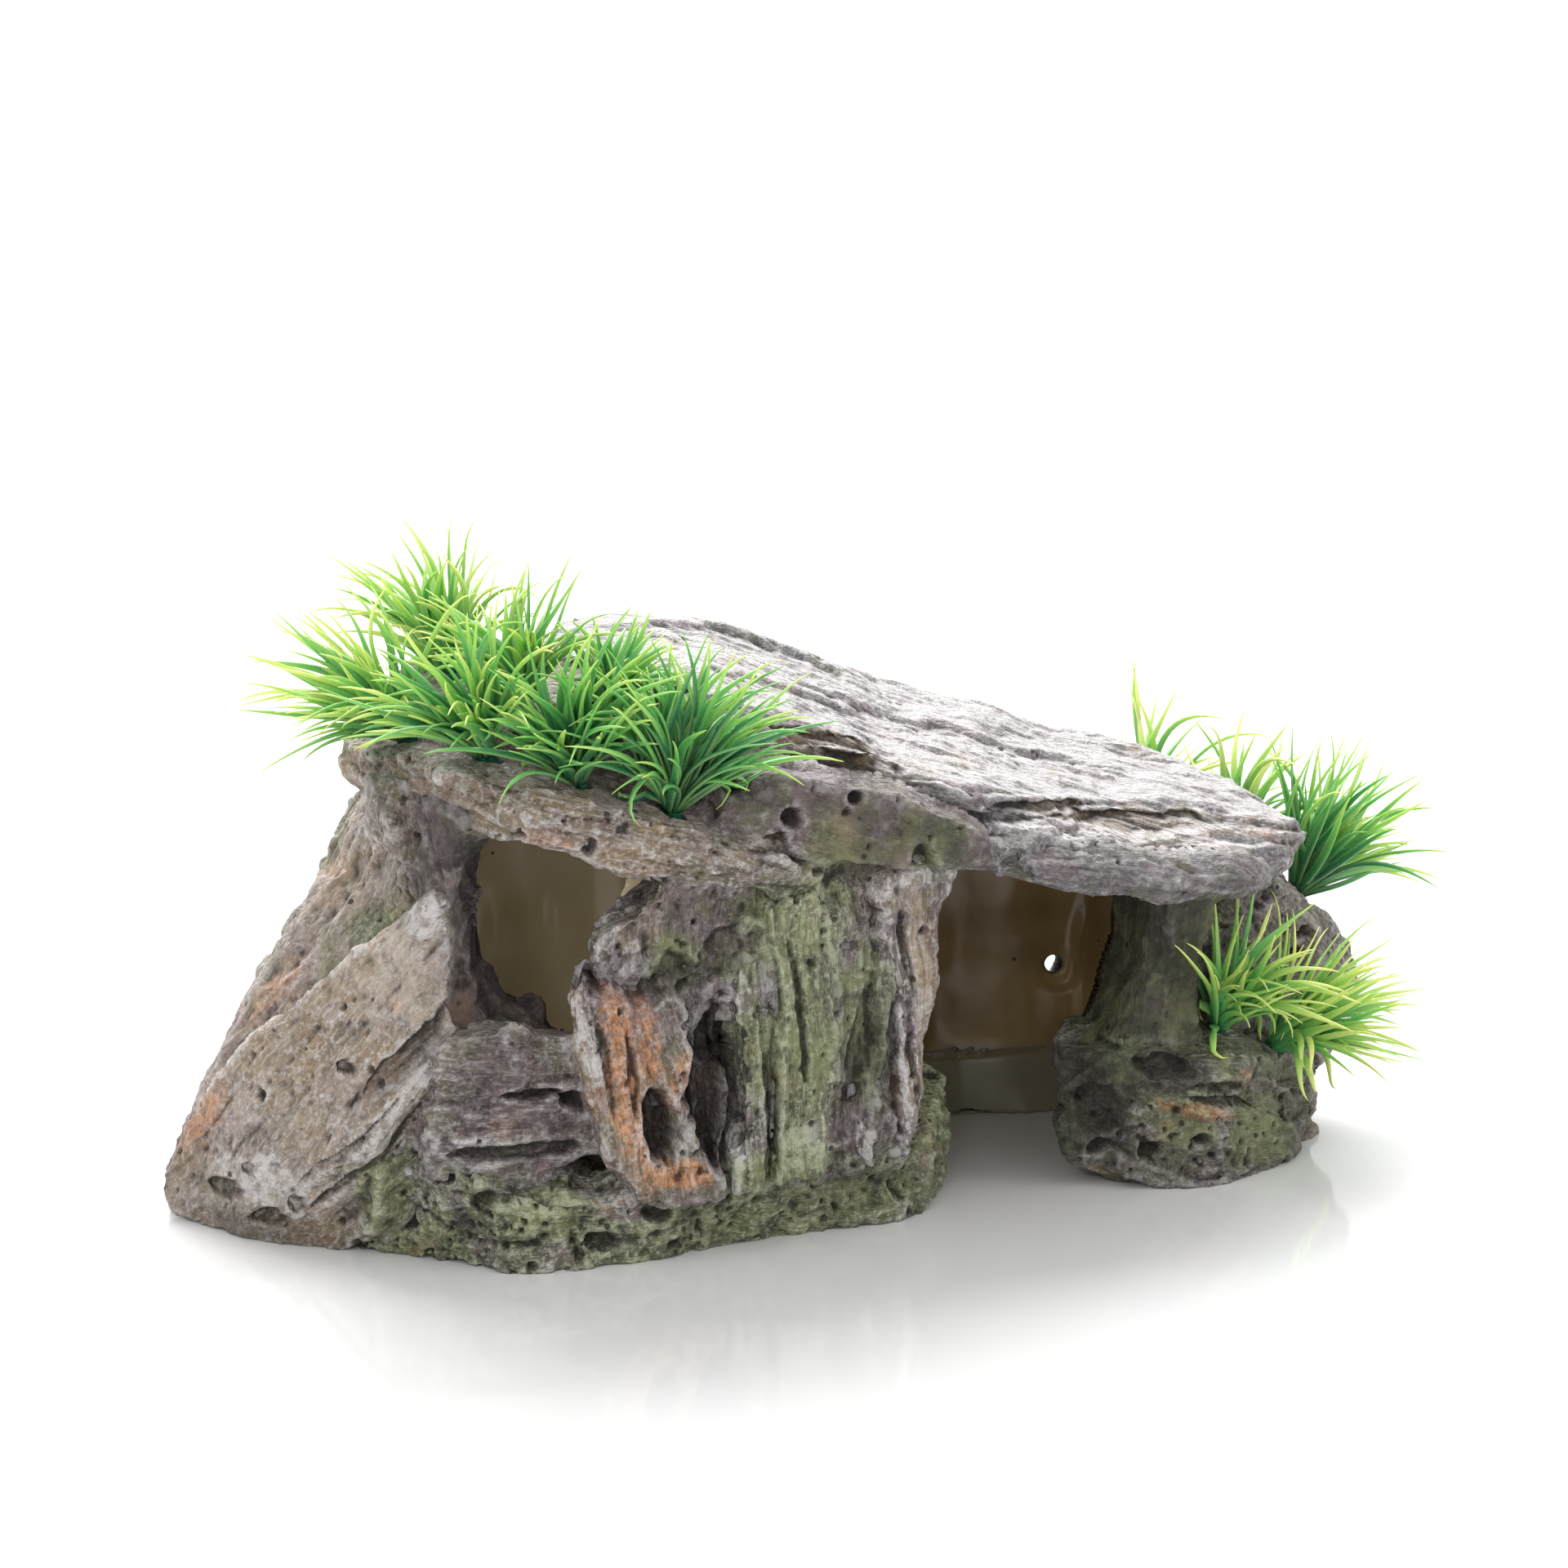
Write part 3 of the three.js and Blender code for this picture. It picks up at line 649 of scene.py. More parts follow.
def broken_surface(mm, no, build, inner, rough, seed):
    """How far each point moves in mm, its place in the grain, its pit and its dark slot."""
    wander = warped(mm)
    axes = grain_frame(build)
    bed = axes[2]
    grain = np.stack([(mm + 3.0 * wander) @ axis for axis in axes], axis=1)
    edge_on = 1 - np.abs(no @ bed) ** 2
    index, part = layer_place(grain, build["layer"], seed)
    layers, slots = layered_height(grain, index, part, build["layer"], seed)
    lumps = fbm(mm / 13, 3, SEED + 3) + 0.4 * fbm(mm / 5.5, 2, SEED + 4)
    grit = fbm(mm / 1.9, 2, SEED + 23)
    pits = np.maximum(
        pit_depth(mm, 6.5, 1.7, 0.75 * build["pits"], seed + 31),
        0.7 * pit_depth(mm, 2.8, 0.75, 0.8 * build["pits"], seed + 37),
    )
    ribs = fbm(mm * (0.07, 0.05, 0.035), 2, SEED + 5)
    height = (
        lumps * build["lumps"] * rough
        + ribs * RIBS * inner
        + rough * layers * build["steps"] * edge_on
        + rough * terraced_height(grain, seed + 13) * build["terrace"] * 0.7
        + rough * flaked_height(mm, build["flake_size"], seed + 11) * build["flakes"]
        + rough * fibrous_height(grain, seed + 17) * build["fibre"] * 0.8
        + rough * grit * build["grit"]
        - rough * pits * PIT_DEPTH
    )
    patches = smoothstep(-0.35, 0.3, fbm(mm / (22, 12, 6), 2, SEED + 8))
    stairs = stair_shift(part, no) * build["stairs"] * patches[:, None]
    moved = no * height[:, None] + WANDER * wander * rough[:, None] + stairs
    return moved, grain, pits, slots * edge_on


def press_hollows(mesh, name, co, mm, no, seed):
    """Press the placed hollows, and say how deep in one each point lies, from 0 to 1."""
    deep = np.zeros(len(co))
    solid, _ = search_tree([mesh])
    for place, radii, tilt, depth, *ways in HOLLOWS.get(name, ()):
        way = ways[0] if ways else INTO
        ragged = placed(mm, name, place, radii, tilt) + 0.25 * fbm(mm / 3.5, 2, seed + 29)
        weight = smoothstep(1.15, 0.75, ragged) * smoothstep(0.35, -0.2, no @ np.array(way, float))
        press = np.minimum(weight * depth, room_left(solid, mm * MM, way, weight))
        co = co + press[:, None] * np.array(way) * MM
        deep = np.maximum(deep, weight * min(1.0, depth / 4) * (way != RIGHT))
    return co, deep


def make_stone(name, number):
    """One stone: its CAD solid rounded, broken up, pressed and painted."""
    build = {**PLAIN, **STONES[name]}
    seed = SEED + 101 * number
    piece = remeshed_copy(name, name + "_rock", build["voxel"] * MM * COARSE)
    mesh = piece.data
    pairs = edge_pairs(mesh)
    start = coordinates(mesh)
    co, near, owner = fillet_stone(mesh, name, build, pairs)
    no = normals(mesh)
    mm = co / MM
    inner = inner_share(name, mm, no)
    rough = 1 - 0.95 * inner
    moved, grain, pits, slots = broken_surface(mm, no, build, inner, rough, seed)
    co, deep = press_hollows(mesh, name, co + moved * MM, mm, no, seed)
    if name == "rear_wall":
        co = vents_kept(co, start)
    co[:, 2] = np.maximum(co[:, 2], 0)
    set_coordinates(mesh, co)

    no = normals(mesh)
    bulge = curvature(co, no, pairs, 5)
    wide = curvature(co, no, pairs, 32)
    # Hollows, pits, slots, pressed hollows and the creases where stones meet are darkened: part real dark
    # wash, part painted shade.
    hidden = smoothstep(0.03, 0.55, -bulge - 0.3 * wide) + 0.9 * np.minimum(pits, 1) + 0.45 * slots
    crease = 0.45 * np.exp(-np.maximum(near, 0) / 1.8)
    marks = {
        "grain": grain,
        "hollow_wash_and_shade": np.clip(hidden + crease + 0.75 * deep, 0, 1) * rough,
        "ridge": smoothstep(0.1, 0.5, bulge + 0.2 * wide) * rough,
        "inner": inner,
        "pitted": build["pits"] * rough,
        # Painted highlight: faces turned toward the key light are marked for white dry-brush dashes.
        "painted_top_light": smoothstep(0.5, 0.76, no @ KEY_LIGHT_WAY) * build["painted_sunlight"],
        "fibrous": np.full(len(co), build["fibre"]),
        "grime": smoothstep(17, 13, mm[:, 2]),
        "olive": smoothstep(10, -35, mm[:, 0]),
    }
    for key, values in marks.items():
        write_attribute(mesh, key, values)
    write_washes_with_painted_shade_and_light(mesh, name, mm, near, owner)
    mesh.polygons.foreach_set("use_smooth", np.ones(len(mesh.polygons), bool))
    mesh.materials.append(rock_material(build["slot"]))
    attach(piece, "root")
    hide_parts(name)
    return piece


def room_left(solid, points, way, weight):
    """How far in mm each point that is pressed may move before it comes out at the stone's back."""
    way = Vector(way)
    room = np.full(len(points), 99.0)
    for index in np.nonzero(weight > 0.01)[0]:
        start = Vector(points[index]) + way * 0.3 * MM
        distance = solid.ray_cast(start, way, 200 * MM)[3]
        room[index] = 0.0 if distance is None else max(distance / MM - THINNEST, 0.0)
    return room


def vents_kept(co, start):
    """Put the surface round the rear wall's water hole back where it was cut."""
    low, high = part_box("rear_wall")
    for share_x, share_z in VENTS:
        middle = (low.x + share_x * (high.x - low.x), low.z + share_z * (high.z - low.z))
        away = np.hypot(start[:, 0] - middle[0], start[:, 2] - middle[1]) / MM
        keep = smoothstep(5.2, 3.2, away)[:, None]
        co = co * (1 - keep) + start * keep
    return co


def inner_share(name, mm, no):
    """1 on faces that line the cave, which are smooth bare resin, and 0 outside."""
    low, high = (Vector(corner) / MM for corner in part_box("rear_wall"))
    if name in ("rear_wall", "rear_skirt"):
        return smoothstep(0.05, -0.3, no[:, 1]) * smoothstep(low.x + 1, low.x + 4, mm[:, 0])
    if name in ("base_left", "base_right", "right_foot"):
        return np.zeros(len(mm))
    inside = smoothstep(high.x + 26, high.x + 18, mm[:, 0]) * smoothstep(low.x + 4, low.x + 12, mm[:, 0])
    inside = inside * smoothstep(low.y + 12, low.y + 4, mm[:, 1])
    if name == "right_rear_rock":
        return smoothstep(-0.3, -0.7, no[:, 0]) * smoothstep(-4, 4, mm[:, 1]) * inside
    if name in ("roof_slab", "shelf_slab", "left_shoulder", "brow_block"):
        return smoothstep(-0.55, -0.8, no[:, 2]) * smoothstep(-24, -14, mm[:, 1]) * inside
    if name == "left_leaf_back":
        return smoothstep(0.3, 0.6, no[:, 0]) * smoothstep(low.y + 2, low.y - 3, mm[:, 1])
    return smoothstep(0.3, 0.7, no[:, 1]) * smoothstep(-35, -29, mm[:, 1]) * inside


def write_washes_with_painted_shade_and_light(mesh, name, mm, near, owner):
    """Where each wash lies, painted shade and painted light among them, run over from the next stone
    wherever two meet.
    """
    names = list(STONES)
    share = 0.5 * np.exp(-np.maximum(near, 0) / 5.0) * (owner >= 0)
    for number, wash in enumerate(WASHES_WITH_PAINTED_SHADE_AND_LIGHT):
        strengths = np.array([{**PLAIN, **STONES[other]}[wash] for other in names])
        own = strengths[names.index(name)]
        level = own + (strengths[owner] - own) * share
        field = fbm(mm / 14 + 40 * number, 3, SEED + 90 + number)
        value = smoothstep(0.0, 0.6, level * 1.35 - 0.35 + 0.75 * field)
        if wash in FIRM:
            value = level + 0.3 * field * (level > 0.05)
        for kind, place, radii, tilt, strength in DABS.get(name, ()):
            if kind == wash:
                ragged = placed(mm, name, place, radii, tilt) + 0.45 * fbm(mm / 4, 3, SEED + 97)
                value = np.maximum(value, smoothstep(1.3, 0.6, ragged) * strength)
        write_attribute(mesh, wash, np.clip(value, 0, 1))
    patch = fbm(mm / 16, 3, SEED + 81) + 0.5 * fbm(mm / 6, 2, SEED + 82)
    write_attribute(mesh, "tone", np.clip(0.5 + 0.6 * patch, 0, 1))


# ---- materials ----


class Graph:
    """A short way to add and join shader nodes."""

    def __init__(self, name):
        self.material = bpy.data.materials.new(name)
        self.material.use_nodes = True
        self.tree = self.material.node_tree
        self.shader = self.tree.nodes["Principled BSDF"]

    def node(self, kind, values=(), **settings):
        made = self.tree.nodes.new(kind)
        for key, value in settings.items():
            setattr(made, key, value)
        for key, value in dict(values).items():
            self.put(made.inputs[key], value)
        return made

    def put(self, socket, value):
        if isinstance(value, bpy.types.NodeSocket):
            self.tree.links.new(value, socket)
        else:
            socket.default_value = value

    def attribute(self, name, output="Fac"):
        """A value or vector written on the vertices."""
        return self.node("ShaderNodeAttribute", attribute_name=name).outputs[output]

    def math(self, operation, a, b=0.5, clamp=False):
        made = self.node("ShaderNodeMath", {0: a, 1: b}, operation=operation, use_clamp=clamp)
        return made.outputs[0]

    def times(self, *factors):
        result = factors[0]
        for factor in factors[1:]:
            result = self.math("MULTIPLY", result, factor)
        return result

    def span(self, value, low, high, start=0.0, end=1.0):
        made = self.node(
            "ShaderNodeMapRange",
            {"Value": value, "From Min": low, "From Max": high, "To Min": start, "To Max": end},
            interpolation_type="SMOOTHSTEP",
        )
        return made.outputs["Result"]

    def mix(self, share, a, b):
        made = self.node("ShaderNodeMix", {"Factor": share}, data_type="RGBA")
        self.put(made.inputs[6], a)
        self.put(made.inputs[7], b)
        return made.outputs[2]

    def scaled(self, vector, scale):
        made = self.node("ShaderNodeVectorMath", {0: vector, 1: scale}, operation="MULTIPLY")
        return made.outputs[0]

    def noise(self, vector, scale, detail=3.0, roughness=0.55):
        values = {"Vector": vector, "Scale": scale, "Detail": detail, "Roughness": roughness}
        return self.node("ShaderNodeTexNoise", values).outputs["Fac"]

    def bump(self, height, distance, strength):
        values = {"Height": height, "Distance": distance, "Strength": strength}
        return self.node("ShaderNodeBump", values).outputs["Normal"]


def rgb(red, green, blue):
    """An sRGB colour, 0 to 255, as linear RGBA."""
    linear = [
        c / 12.92 if c <= 0.04045 else ((c + 0.055) / 1.055) ** 2.4
        for c in (red / 255, green / 255, blue / 255)
    ]
    return (*linear, 1.0)


# Dark and light of the ground coat under the washes, for each slot.
BASES = {
    "slate_paint": (rgb(78, 74, 76), rgb(128, 123, 126)),
    "mauve_paint": (rgb(74, 64, 64), rgb(122, 107, 104)),
    "ochre_paint": (rgb(84, 73, 66), rgb(136, 120, 106)),
    "moss_paint": (rgb(66, 62, 54), rgb(112, 104, 92)),
    "rust_paint": (rgb(80, 66, 64), rgb(128, 112, 104)),
    "bare_resin": (rgb(72, 64, 60), rgb(120, 108, 100)),
}
OCHRE = (rgb(128, 104, 72), rgb(164, 138, 100))
MOSS = (rgb(58, 66, 40), rgb(124, 130, 86))
RUST = (rgb(146, 98, 62), rgb(214, 148, 92))
# Dark wash colour, also used for painted shade.
DARK_WASH_AND_SHADE = rgb(24, 20, 19)
# Dry-brush white, also used for painted glints.
DRY_BRUSH_AND_GLINT = rgb(214, 210, 210)
# Pale tan that also stands in for light falling on the faces it is laid on (painted light).
TAN_AND_PAINTED_LIGHT = rgb(186, 172, 156)
AMBER = (rgb(124, 102, 66), rgb(170, 144, 98))
# Pale olive resin, brightened well past its own colour to stand in for light shining through the resin
# (painted light).
OLIVE_AND_PAINTED_GLOW = (rgb(222, 204, 160), rgb(244, 230, 194))
GRIME = rgb(126, 120, 98)
# Near black for pinholes: painted shade inside bubble holes.
PINHOLE_SHADE = rgb(44, 34, 22)
STAINS = (rgb(104, 104, 74), rgb(130, 108, 112))  # olive and mauve blotches on every stone
MOSSY_DRY_BRUSH_AND_GLINT = rgb(178, 186, 142)
MADE = {}


def rock_material(slot):
    """Painted resin: ground coat, washes, dark wash mixed with painted shade in the hollows, and a dry
    brush on the crests and faces turned to the key light that also paints in highlights.
    """
    if slot in MADE:
        return MADE[slot]
    g = Graph(slot)
    place = g.node("ShaderNodeTexCoord").outputs["Object"]
    grain = g.attribute("grain", "Vector")
    fibre = g.noise(g.scaled(grain, (0.1, 0.9, 0.9)), 1.2, 4.0, 0.62)
    hair = g.noise(g.scaled(grain, (0.22, 2.4, 2.4)), 1.0, 2.0, 0.6)
    grit = g.noise(place, 1100.0, 2.0, 0.6)
    speck = g.noise(place, 420.0, 3.0, 0.6)
    cloud = g.noise(place, 120.0, 3.0, 0.6)
    mottle = g.noise(place, 300.0, 4.0, 0.7)
    fibrous = g.attribute("fibrous")
    hollow_wash_and_shade = g.attribute("hollow_wash_and_shade")
    pale = g.attribute("pale")

    # Dark dots on small pits: painted shade inside pits too small to model.
    dots = g.node("ShaderNodeTexVoronoi", {"Vector": place, "Scale": 330.0})
    chosen = g.node("ShaderNodeSeparateColor", {"Color": dots.outputs["Color"]}).outputs[0]
    clusters = g.span(g.noise(place, 60.0, 2.0), 0.5, 0.64)
    density = g.math("MULTIPLY_ADD", g.attribute("pitted"), 0.5)
    density.node.inputs[2].default_value = 0.03
    density = g.times(density, g.span(clusters, 0.0, 1.0, 0.15, 1.0))
    kept = g.math("LESS_THAN", chosen, density)
    dot = g.times(g.span(dots.outputs["Distance"], 0.27, 0.14), kept)

    tone = g.times(g.attribute("tone"), 0.5)
    tone = g.math("ADD", tone, g.times(g.span(fibre, 0.34, 0.68, -0.2, 0.35), fibrous))
    tone = g.math("ADD", tone, g.span(mottle, 0.36, 0.64, -0.2, 0.55), True)
    colour = g.mix(tone, *BASES[slot])
    hue = g.noise(place, 95.0, 3.0, 0.65)
    colour = g.mix(g.span(hue, 0.5, 0.64, 0.0, 0.5), colour, STAINS[0])
    colour = g.mix(g.span(hue, 0.5, 0.36, 0.0, 0.5), colour, STAINS[1])
    # Pale tan paint together with painted light on lit leaf faces and the edge flake's highlight line.
    light = g.times(g.attribute("light"), g.span(mottle, 0.3, 0.6, 0.3, 0.9))
    colour = g.mix(light, colour, TAN_AND_PAINTED_LIGHT)
    ochre = g.times(g.attribute("ochre"), g.span(cloud, 0.34, 0.6, 0.3, 0.85))
    colour = g.mix(ochre, colour, g.mix(fibre, *OCHRE))
    moss = g.times(g.attribute("moss"), g.span(speck, 0.3, 0.62, 0.5, 0.92))
    colour = g.mix(moss, colour, g.mix(g.span(cloud, 0.35, 0.65), *MOSS))
    rust = g.times(g.attribute("rust"), g.span(fibre, 0.36, 0.55, 0.25, 1.0))
    colour = g.mix(rust, colour, g.mix(g.span(speck, 0.36, 0.6), *RUST))

    # Dry brush on streaks, flecks and crests: real dry-brush paint that also stands in for small glints
    # (painted highlight).
    streaked = g.times(g.span(hair, 0.42, 0.64), g.span(fibre, 0.4, 0.62))
    fleck = g.span(g.noise(place, 900.0, 2.0, 0.5), 0.54, 0.66)
    scratch = g.span(g.noise(place, 480.0, 5.0, 0.75), 0.57, 0.63)
    fleck = g.math("MAXIMUM", fleck, scratch)
    dusted = g.times(g.math("ADD", streaked, fleck, True), g.times(pale, 1.1))
    patch = g.times(g.span(pale, 0.6, 1.0), g.span(speck, 0.36, 0.6, 0.2, 0.9))
    dusted = g.math("MAXIMUM", dusted, patch)
    dashes = g.times(g.span(hair, 0.34, 0.54, 0.15, 1.0), g.span(fibre, 0.3, 0.46, 0.4, 1.0))
    # Painted highlight: white dashes on faces turned to the key light.
    painted_top_light = g.times(g.attribute("painted_top_light"), dashes, 0.82)
    # Painted highlight: crests get white flecks standing in for glints, on top of the dry brush.
    crest = g.times(g.attribute("ridge"), g.span(speck, 0.38, 0.58, 0.1, 1.0))
    crest = g.times(crest, g.math("ADD", g.times(pale, 0.6), 0.4))
    brushed = g.math("ADD", dusted, crest, True)
    brush = g.mix(g.times(g.attribute("moss"), 0.8), DRY_BRUSH_AND_GLINT, MOSSY_DRY_BRUSH_AND_GLINT)
    colour = g.mix(brushed, colour, g.mix(0.2, brush, colour))
    colour = g.mix(painted_top_light, colour, g.mix(0.08, brush, colour))

    # Dark wash and painted shade in hollows, pits and creases.
    shade = g.times(hollow_wash_and_shade, g.span(grit, 0.3, 0.62, 0.8, 1.0))
    shade = g.times(g.math("MAXIMUM", shade, dot), 0.86)
    lines = g.times(g.span(fibre, 0.42, 0.3, 0.0, 0.35), fibrous)
    shade = g.math("MAXIMUM", shade, lines)
    # Painted shade: whole stones and dabs that stand in shade are darkened with the dark wash colour.
    shade = g.math("MAXIMUM", shade, g.times(g.attribute("dark"), 0.8))
    # Painted light: less dark wash and shade on faces turned to the key light.
    shade = g.times(shade, g.span(g.attribute("painted_top_light"), 0.0, 1.0, 1.0, 0.6))
    colour = g.mix(shade, colour, DARK_WASH_AND_SHADE)

    inner = g.attribute("inner")
    smear = g.span(g.noise(place, 40.0, 2.0), 0.3, 0.7)
    # Left part of the inside: olive resin colour together with painted light standing in for light through
    # the resin.
    resin = g.mix(g.attribute("olive"), g.mix(smear, *AMBER), g.mix(smear, *OLIVE_AND_PAINTED_GLOW))
    resin = g.mix(g.attribute("grime"), resin, GRIME)
    # Painted shade: rare dark dots stand in for the shade inside bubble pinholes.
    rare = g.math("LESS_THAN", chosen, 0.03)
    pinhole = g.times(g.span(dots.outputs["Distance"], 0.2, 0.12), rare)
    resin = g.mix(pinhole, resin, PINHOLE_SHADE)
    colour = g.mix(inner, colour, resin)
    g.put(g.shader.inputs["Base Color"], colour)

    rough = g.span(g.math("ADD", grit, shade), 0.3, 1.4, 0.45, 0.85)
    rough_or_bare = g.node("ShaderNodeMix", {"Factor": inner, 2: rough, 3: 0.3}).outputs[0]
    g.put(g.shader.inputs["Roughness"], rough_or_bare)
    outer = g.math("SUBTRACT", 1.0, inner)
    height = g.math("ADD", g.times(fibre, 0.9), g.times(hair, 0.55))
    height = g.math("SUBTRACT", height, g.times(dot, 0.6))
    height = g.math("ADD", height, g.times(grit, 0.6))
    height = g.math("ADD", height, g.times(mottle, 1.2))
    g.put(g.shader.inputs["Normal"], g.bump(g.times(height, outer), 1.2 * MM, 0.95))
    MADE[slot] = g.material
    return g.material


def grass_material():
    g = Graph("grass_blades")
    length = g.attribute("length")
    shade = g.attribute("shade")
    place = g.math("ADD", g.times(length, 0.85), g.times(shade, 0.22))
    ramp = g.node("ShaderNodeValToRGB", {"Fac": place})
    stops = (
        (0.0, rgb(14, 86, 62)),
        (0.25, rgb(32, 120, 72)),
        (0.5, rgb(88, 164, 84)),
        (0.75, rgb(160, 200, 100)),
        (1.0, rgb(218, 226, 134)),
    )
    elements = ramp.color_ramp.elements
    while len(elements) < len(stops):
        elements.new(0.5)
    for element, (position, colour) in zip(elements, stops):
        element.position = position
        element.color = colour
    # Paler along the blades' rims: lighter plastic at the edges together with a painted highlight.
    colour = g.mix(g.times(g.attribute("rim"), 0.3), ramp.outputs["Color"], rgb(190, 214, 120))
    g.put(g.shader.inputs["Base Color"], colour)
    fleck = g.noise(g.node("ShaderNodeTexCoord").outputs["Object"], 700.0)
    g.put(g.shader.inputs["Roughness"], g.span(fleck, 0.3, 0.7, 0.25, 0.4))
    g.put(g.shader.inputs["Normal"], g.bump(fleck, 0.1 * MM, 0.3))
    g.shader.inputs["Subsurface Weight"].default_value = 0.3
    g.shader.inputs["Subsurface Radius"].default_value = (1.0, 1.4, 0.4)
    g.shader.inputs["Subsurface Scale"].default_value = 1.2 * MM
    return g.material


# ---- grass ----

BLADE_STEPS = 14
LONGEST = 37.0 * MM
BLADE_SIDES = 8
BLADE_THICK = 1.1 * MM
CLEAR = 0.9 * MM  # a blade lies at least this far off the rock
OVERHANG = 10.0 * MM  # how far past the CAD box a blade may reach
DROOP = (2.0 * MM, 24.0 * MM)  # how far blades may hang under their plug, left and right
# Each sprig: how many blades, how pale, how many of them curl over, and their length.
SPRIGS = {
    1: (120, -0.8, 5, 1.1), 2: (82, -0.3, 2, 1.0), 3: (80, 0.0, 1, 1.0), 4: (80, 0.5, 0, 1.05),
    5: (70, 0.3, 0, 0.85), 6: (50, -0.1, 0, 0.62), 7: (70, 0.7, 0, 1.0), 8: (20, 1.2, 0, 1.0),
    9: (100, -0.2, 1, 1.1), 10: (30, 0.8, 0, 0.95), 11: (58, 0.6, 6, 1.0), 12: (78, 0.7, 5, 1.0),
}


def blade_spine(rng, root, lean, rock, curled, longest):
    """The middle line of one blade: up from the plug, out and over, resting on rock it meets."""
    turn = rng.uniform(0, 2 * math.pi)
    tilt = math.radians(rng.uniform(2, 38))
    bend = math.radians(rng.uniform(150, 230) if curled else rng.uniform(5, 80))
    wave = math.radians(rng.uniform(-13, 13))
    phase = rng.uniform(0, 2 * math.pi)
    side = lean.orthogonal().normalized()
    outward = side * math.cos(turn) + lean.cross(side) * math.sin(turn)
    across = lean.cross(outward)
    sway = rng.uniform(-0.35, 0.35)
    sweep = Vector((lean.x, lean.y, -0.1)) * 1.3
    length = longest * (rng.uniform(0.45, 0.7) if curled else rng.uniform(0.6, 1.0))
    spot = root + outward * rng.uniform(0.2, 1.7) * MM
    points = [spot.copy()]
    for step in range(BLADE_STEPS):
        share = (step + 1) / BLADE_STEPS
        angle = tilt + bend * share**1.5 + wave * math.sin(5.5 * share + phase)
        aside = sway * share + 0.2 * math.sin(4.5 * share + phase)
        heading = lean * math.cos(angle) + outward * math.sin(angle) + across * aside
        heading += sweep * share
        heading.normalize()
        spot = spot + heading * (length / BLADE_STEPS)
        if step > 0:
            spot = lifted(rock, spot)
        points.append(spot.copy())
    return points, outward


def crosses(rock, points):
    """True if the blade runs through rock past its root."""
    for start, end in zip(points[3:], points[4:]):
        step = end - start
        if step.length > 0 and rock.ray_cast(start, step.normalized(), step.length)[0] is not None:
            return True
    return False


def lifted(rock, spot):
    """The point, moved out of any rock it has run into."""
    near, normal, _, distance = rock.find_nearest(spot, 8 * MM)
    if distance is None or (spot - near).dot(normal) >= CLEAR:
        return spot
    return near + normal * CLEAR


def inside_limits(points, droop):
    """True if no point is too far past the CAD box, or hangs too low under its root."""
    low, high = Vector(CAD_BOUNDS[0]), Vector(CAD_BOUNDS[1])
    if min(point.z for point in points) < points[0].z - droop:
        return False
    return all(
        low[k] - OVERHANG < point[k] < high[k] + OVERHANG for point in points for k in (0, 1, 2)
    )


def blade_mesh(points, outward, width):
    """A closed tapered blade of oval section, and each vertex's place along it and on its rims."""
    verts, along, rims = [], [], []
    count, sides = len(points), BLADE_SIDES
    for index, point in enumerate(points):
        share = index / (count - 1)
        ahead = points[min(index + 1, count - 1)] - points[max(index - 1, 0)]
        ahead.normalize()
        flat = ahead.cross(outward)
        flat = flat.normalized() if flat.length > 1e-6 else ahead.orthogonal().normalized()
        up = flat.cross(ahead).normalized()
        half = 0.5 * width * (0.66 + 0.34 * math.sin(math.pi * min(share * 1.25, 1) ** 0.8))
        half *= 1 - 0.9 * share**4
        thick = 0.5 * BLADE_THICK * (1 - 0.85 * share**2)
        for k in range(sides):
            turn = 2 * math.pi * k / sides
            verts.append(point + flat * half * math.cos(turn) + up * thick * math.sin(turn))
            along.append(share)
            rims.append(abs(math.cos(turn)) ** 3)
    faces = []
    for row in range(count - 1):
        for k in range(sides):
            a = row * sides + k
            b = row * sides + (k + 1) % sides
            faces.append((a, b, b + sides, a + sides))
    faces.append(tuple(reversed(range(sides))))
    faces.append(tuple(range((count - 1) * sides, count * sides)))
    return verts, faces, along, rims


def make_tuft(number, rock, material):
    plug, tuft = f"grass_plug_{number:02d}", f"grass_tuft_{number:02d}"
    plug_low, plug_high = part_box(plug)
    low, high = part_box(tuft)
    base = (plug_low + plug_high) / 2
    lean = ((low + high) / 2 - base).normalized()
    root = base + lean * 3.2 * MM
    rng = np.random.default_rng(SEED * 1000 + number)
    wanted, pale, curls, length = SPRIGS[number]
    verts, faces, along, rims, shades = [], [], [], [], []
    made = 0
    for _ in range(wanted * 8):
        if made == wanted:
            break
        curled = made < curls
        points, outward = blade_spine(rng, root, lean, rock, curled, LONGEST * length)
        if not inside_limits(points, DROOP[number > 8]) or crosses(rock, points):
            continue
        width = rng.uniform(2.1, 2.6) if curled else rng.uniform(1.5, 2.2)
        part = blade_mesh(points, outward, width * MM)
        shade = rng.uniform(-1, 1) + pale
        start = len(verts)
        verts += part[0]
        faces += [tuple(i + start for i in face) for face in part[1]]
        along += part[2]
        rims += part[3]
        shades += [shade] * len(part[0])
        made += 1
    mesh = bpy.data.meshes.new(f"grass_blades_{number:02d}")
    mesh.from_pydata(verts, [], faces)
    mesh.update()
    write_attribute(mesh, "length", np.array(along))
    write_attribute(mesh, "rim", np.array(rims))
    write_attribute(mesh, "shade", np.array(shades))
    mesh.polygons.foreach_set("use_smooth", np.ones(len(mesh.polygons), bool))
    mesh.materials.append(material)
    piece = add_object(mesh.name, mesh)
    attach(piece, "root")
    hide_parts(tuft)
    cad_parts[plug].data.materials.clear()
    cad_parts[plug].data.materials.append(material)


# ---- stage ----


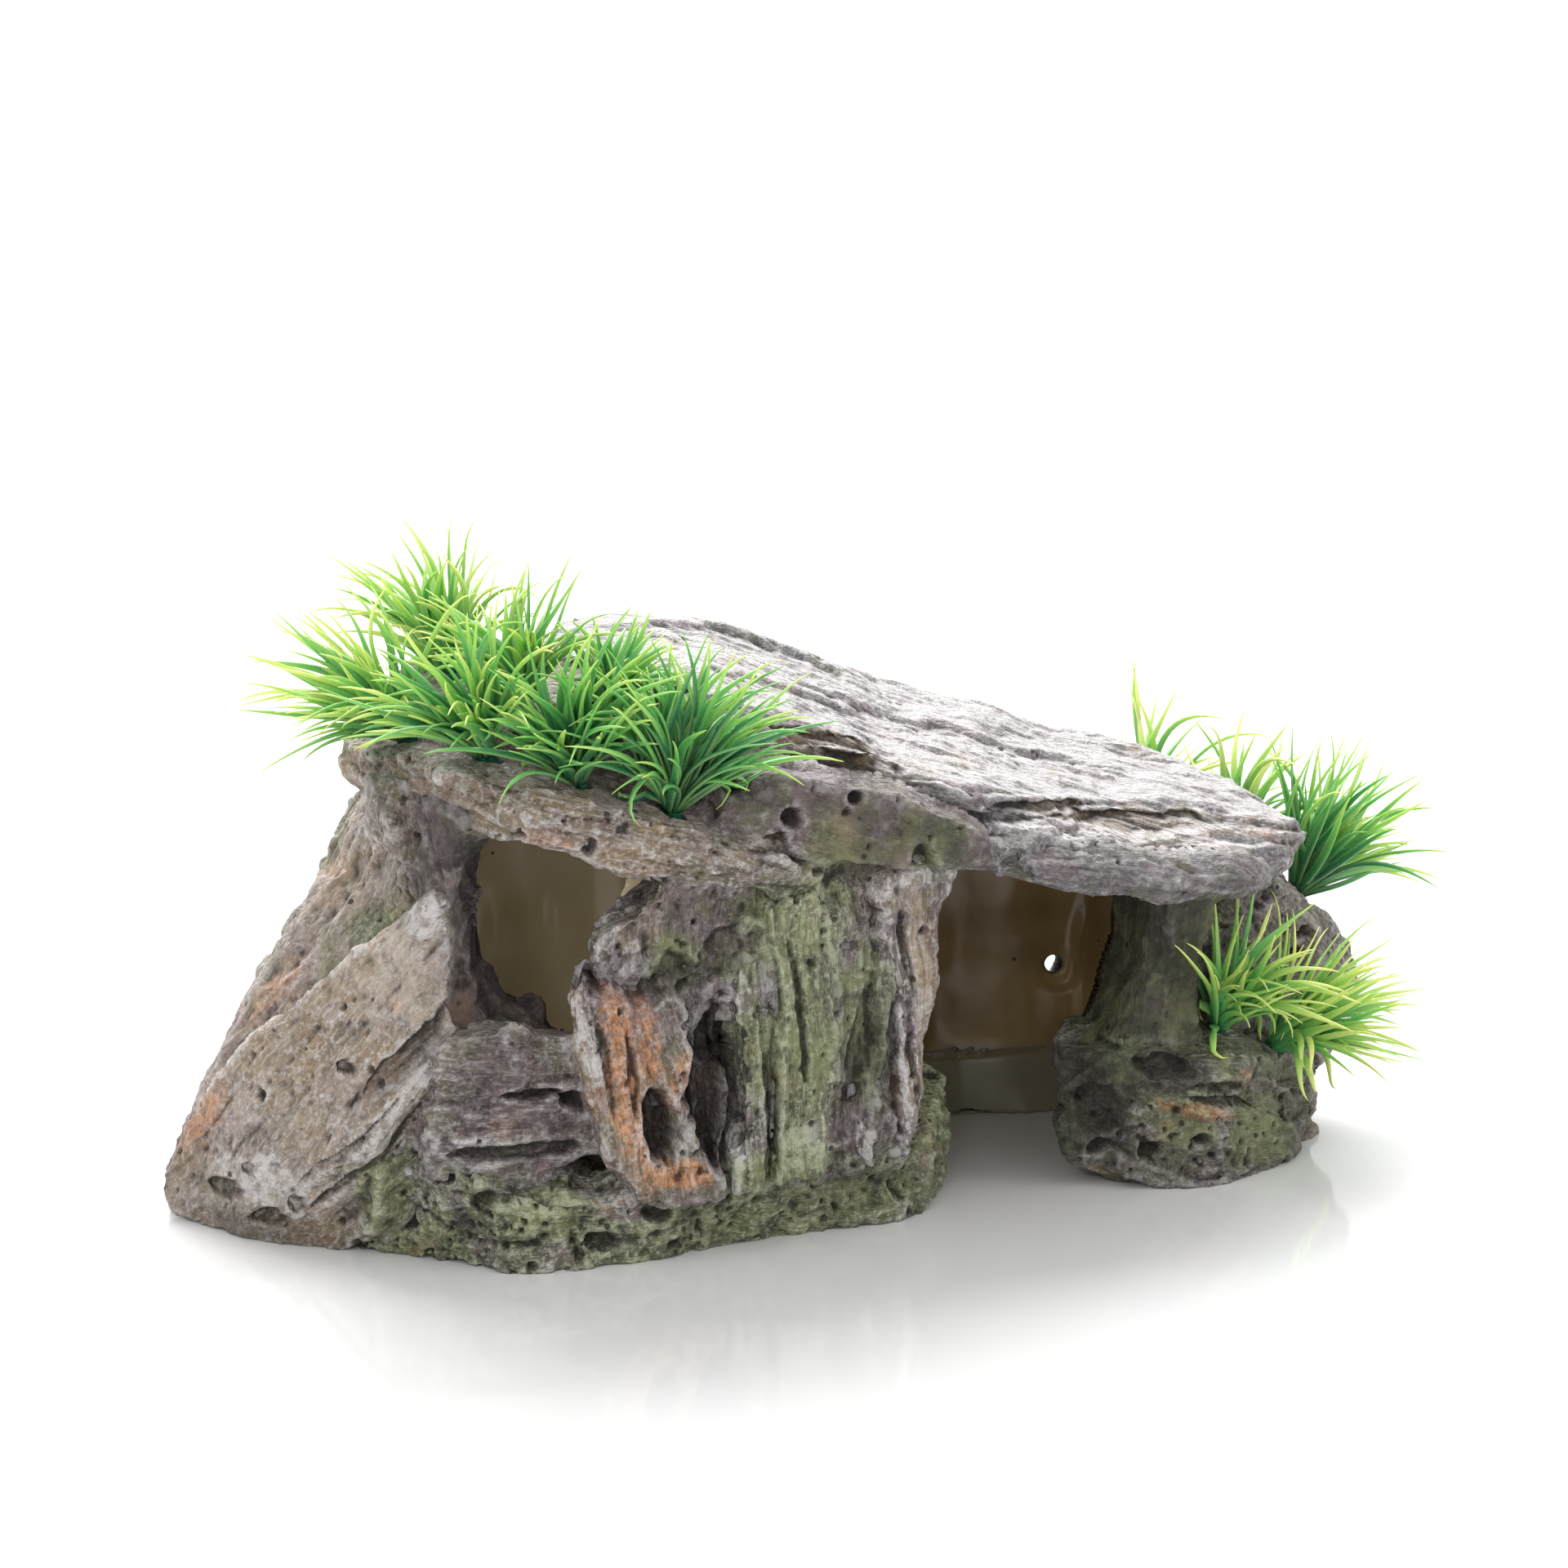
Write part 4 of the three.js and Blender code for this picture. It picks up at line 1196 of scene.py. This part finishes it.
def make_floor():
    mesh = bpy.data.meshes.new("floor")
    signs = ((-1, -1), (1, -1), (1, 1), (-1, 1))
    corners = [(x * FLOOR_REACH, y * FLOOR_REACH, GROUND) for x, y in signs]
    mesh.from_pydata(corners, [], [(0, 1, 2, 3)])
    floor = add_object("floor", mesh)
    g = Graph("floor_white_with_painted_shadow")
    place = g.node("ShaderNodeTexCoord").outputs["Object"]
    away = g.node("ShaderNodeVectorMath", {0: place}, operation="LENGTH").outputs["Value"]
    # Painted shadow: the floor is darker near the object and fades to white further out.
    g.put(g.shader.inputs["Base Color"], g.span(away, 0.2, 0.9, 0.75, 1.0))
    g.shader.inputs["Roughness"].default_value = 0.07
    mesh.materials.append(g.material)


def aim(thing, target):
    thing.rotation_euler = (Vector(target) - thing.location).to_track_quat("-Z", "Y").to_euler()


def make_softbox(name, place, size, power):
    light = bpy.data.lights.new(name, "AREA")
    light.shape = "RECTANGLE"
    light.size, light.size_y = size
    light.energy = power
    thing = add_object(name, light)
    thing.location = place
    aim(thing, LIT_MIDDLE)


def make_lights():
    make_softbox("top_back_box", (0.1, 0.75, 1.0), (1.2, 0.7), 30)
    make_softbox("front_left_box", (-0.9, -1.0, 0.7), (0.9, 0.9), 4)
    make_softbox("front_right_box", (1.0, -0.8, 0.5), (0.7, 0.9), 3)
    world = bpy.data.worlds.new("studio")
    world.use_nodes = True
    world.node_tree.nodes["Background"].inputs["Color"].default_value = (1, 1, 1, 1)
    world.node_tree.nodes["Background"].inputs["Strength"].default_value = 1.0
    bpy.context.scene.world = world
    bpy.context.scene.view_settings.view_transform = "Standard"


def make_camera():
    azimuth, elevation = math.radians(CAMERA_AZIMUTH), math.radians(CAMERA_ELEVATION)
    back = Vector((
        math.sin(azimuth) * math.cos(elevation),
        -math.cos(azimuth) * math.cos(elevation),
        math.sin(elevation),
    ))
    camera = bpy.data.cameras.new("camera")
    camera.lens = CAMERA_LENS
    camera.sensor_width = 36
    thing = add_object("camera", camera)
    thing.location = CAMERA_TARGET + back * CAMERA_DISTANCE
    aim(thing, CAMERA_TARGET)
    bpy.context.scene.camera = thing


# ---- build ----

make_camera()
rocks = [make_stone(name, number) for number, name in enumerate(STONES)]
blades = grass_material()
tree, _ = search_tree(rock.data for rock in rocks)
for tuft_number in SPRIGS:
    make_tuft(tuft_number, tree, blades)
make_floor()
make_lights()
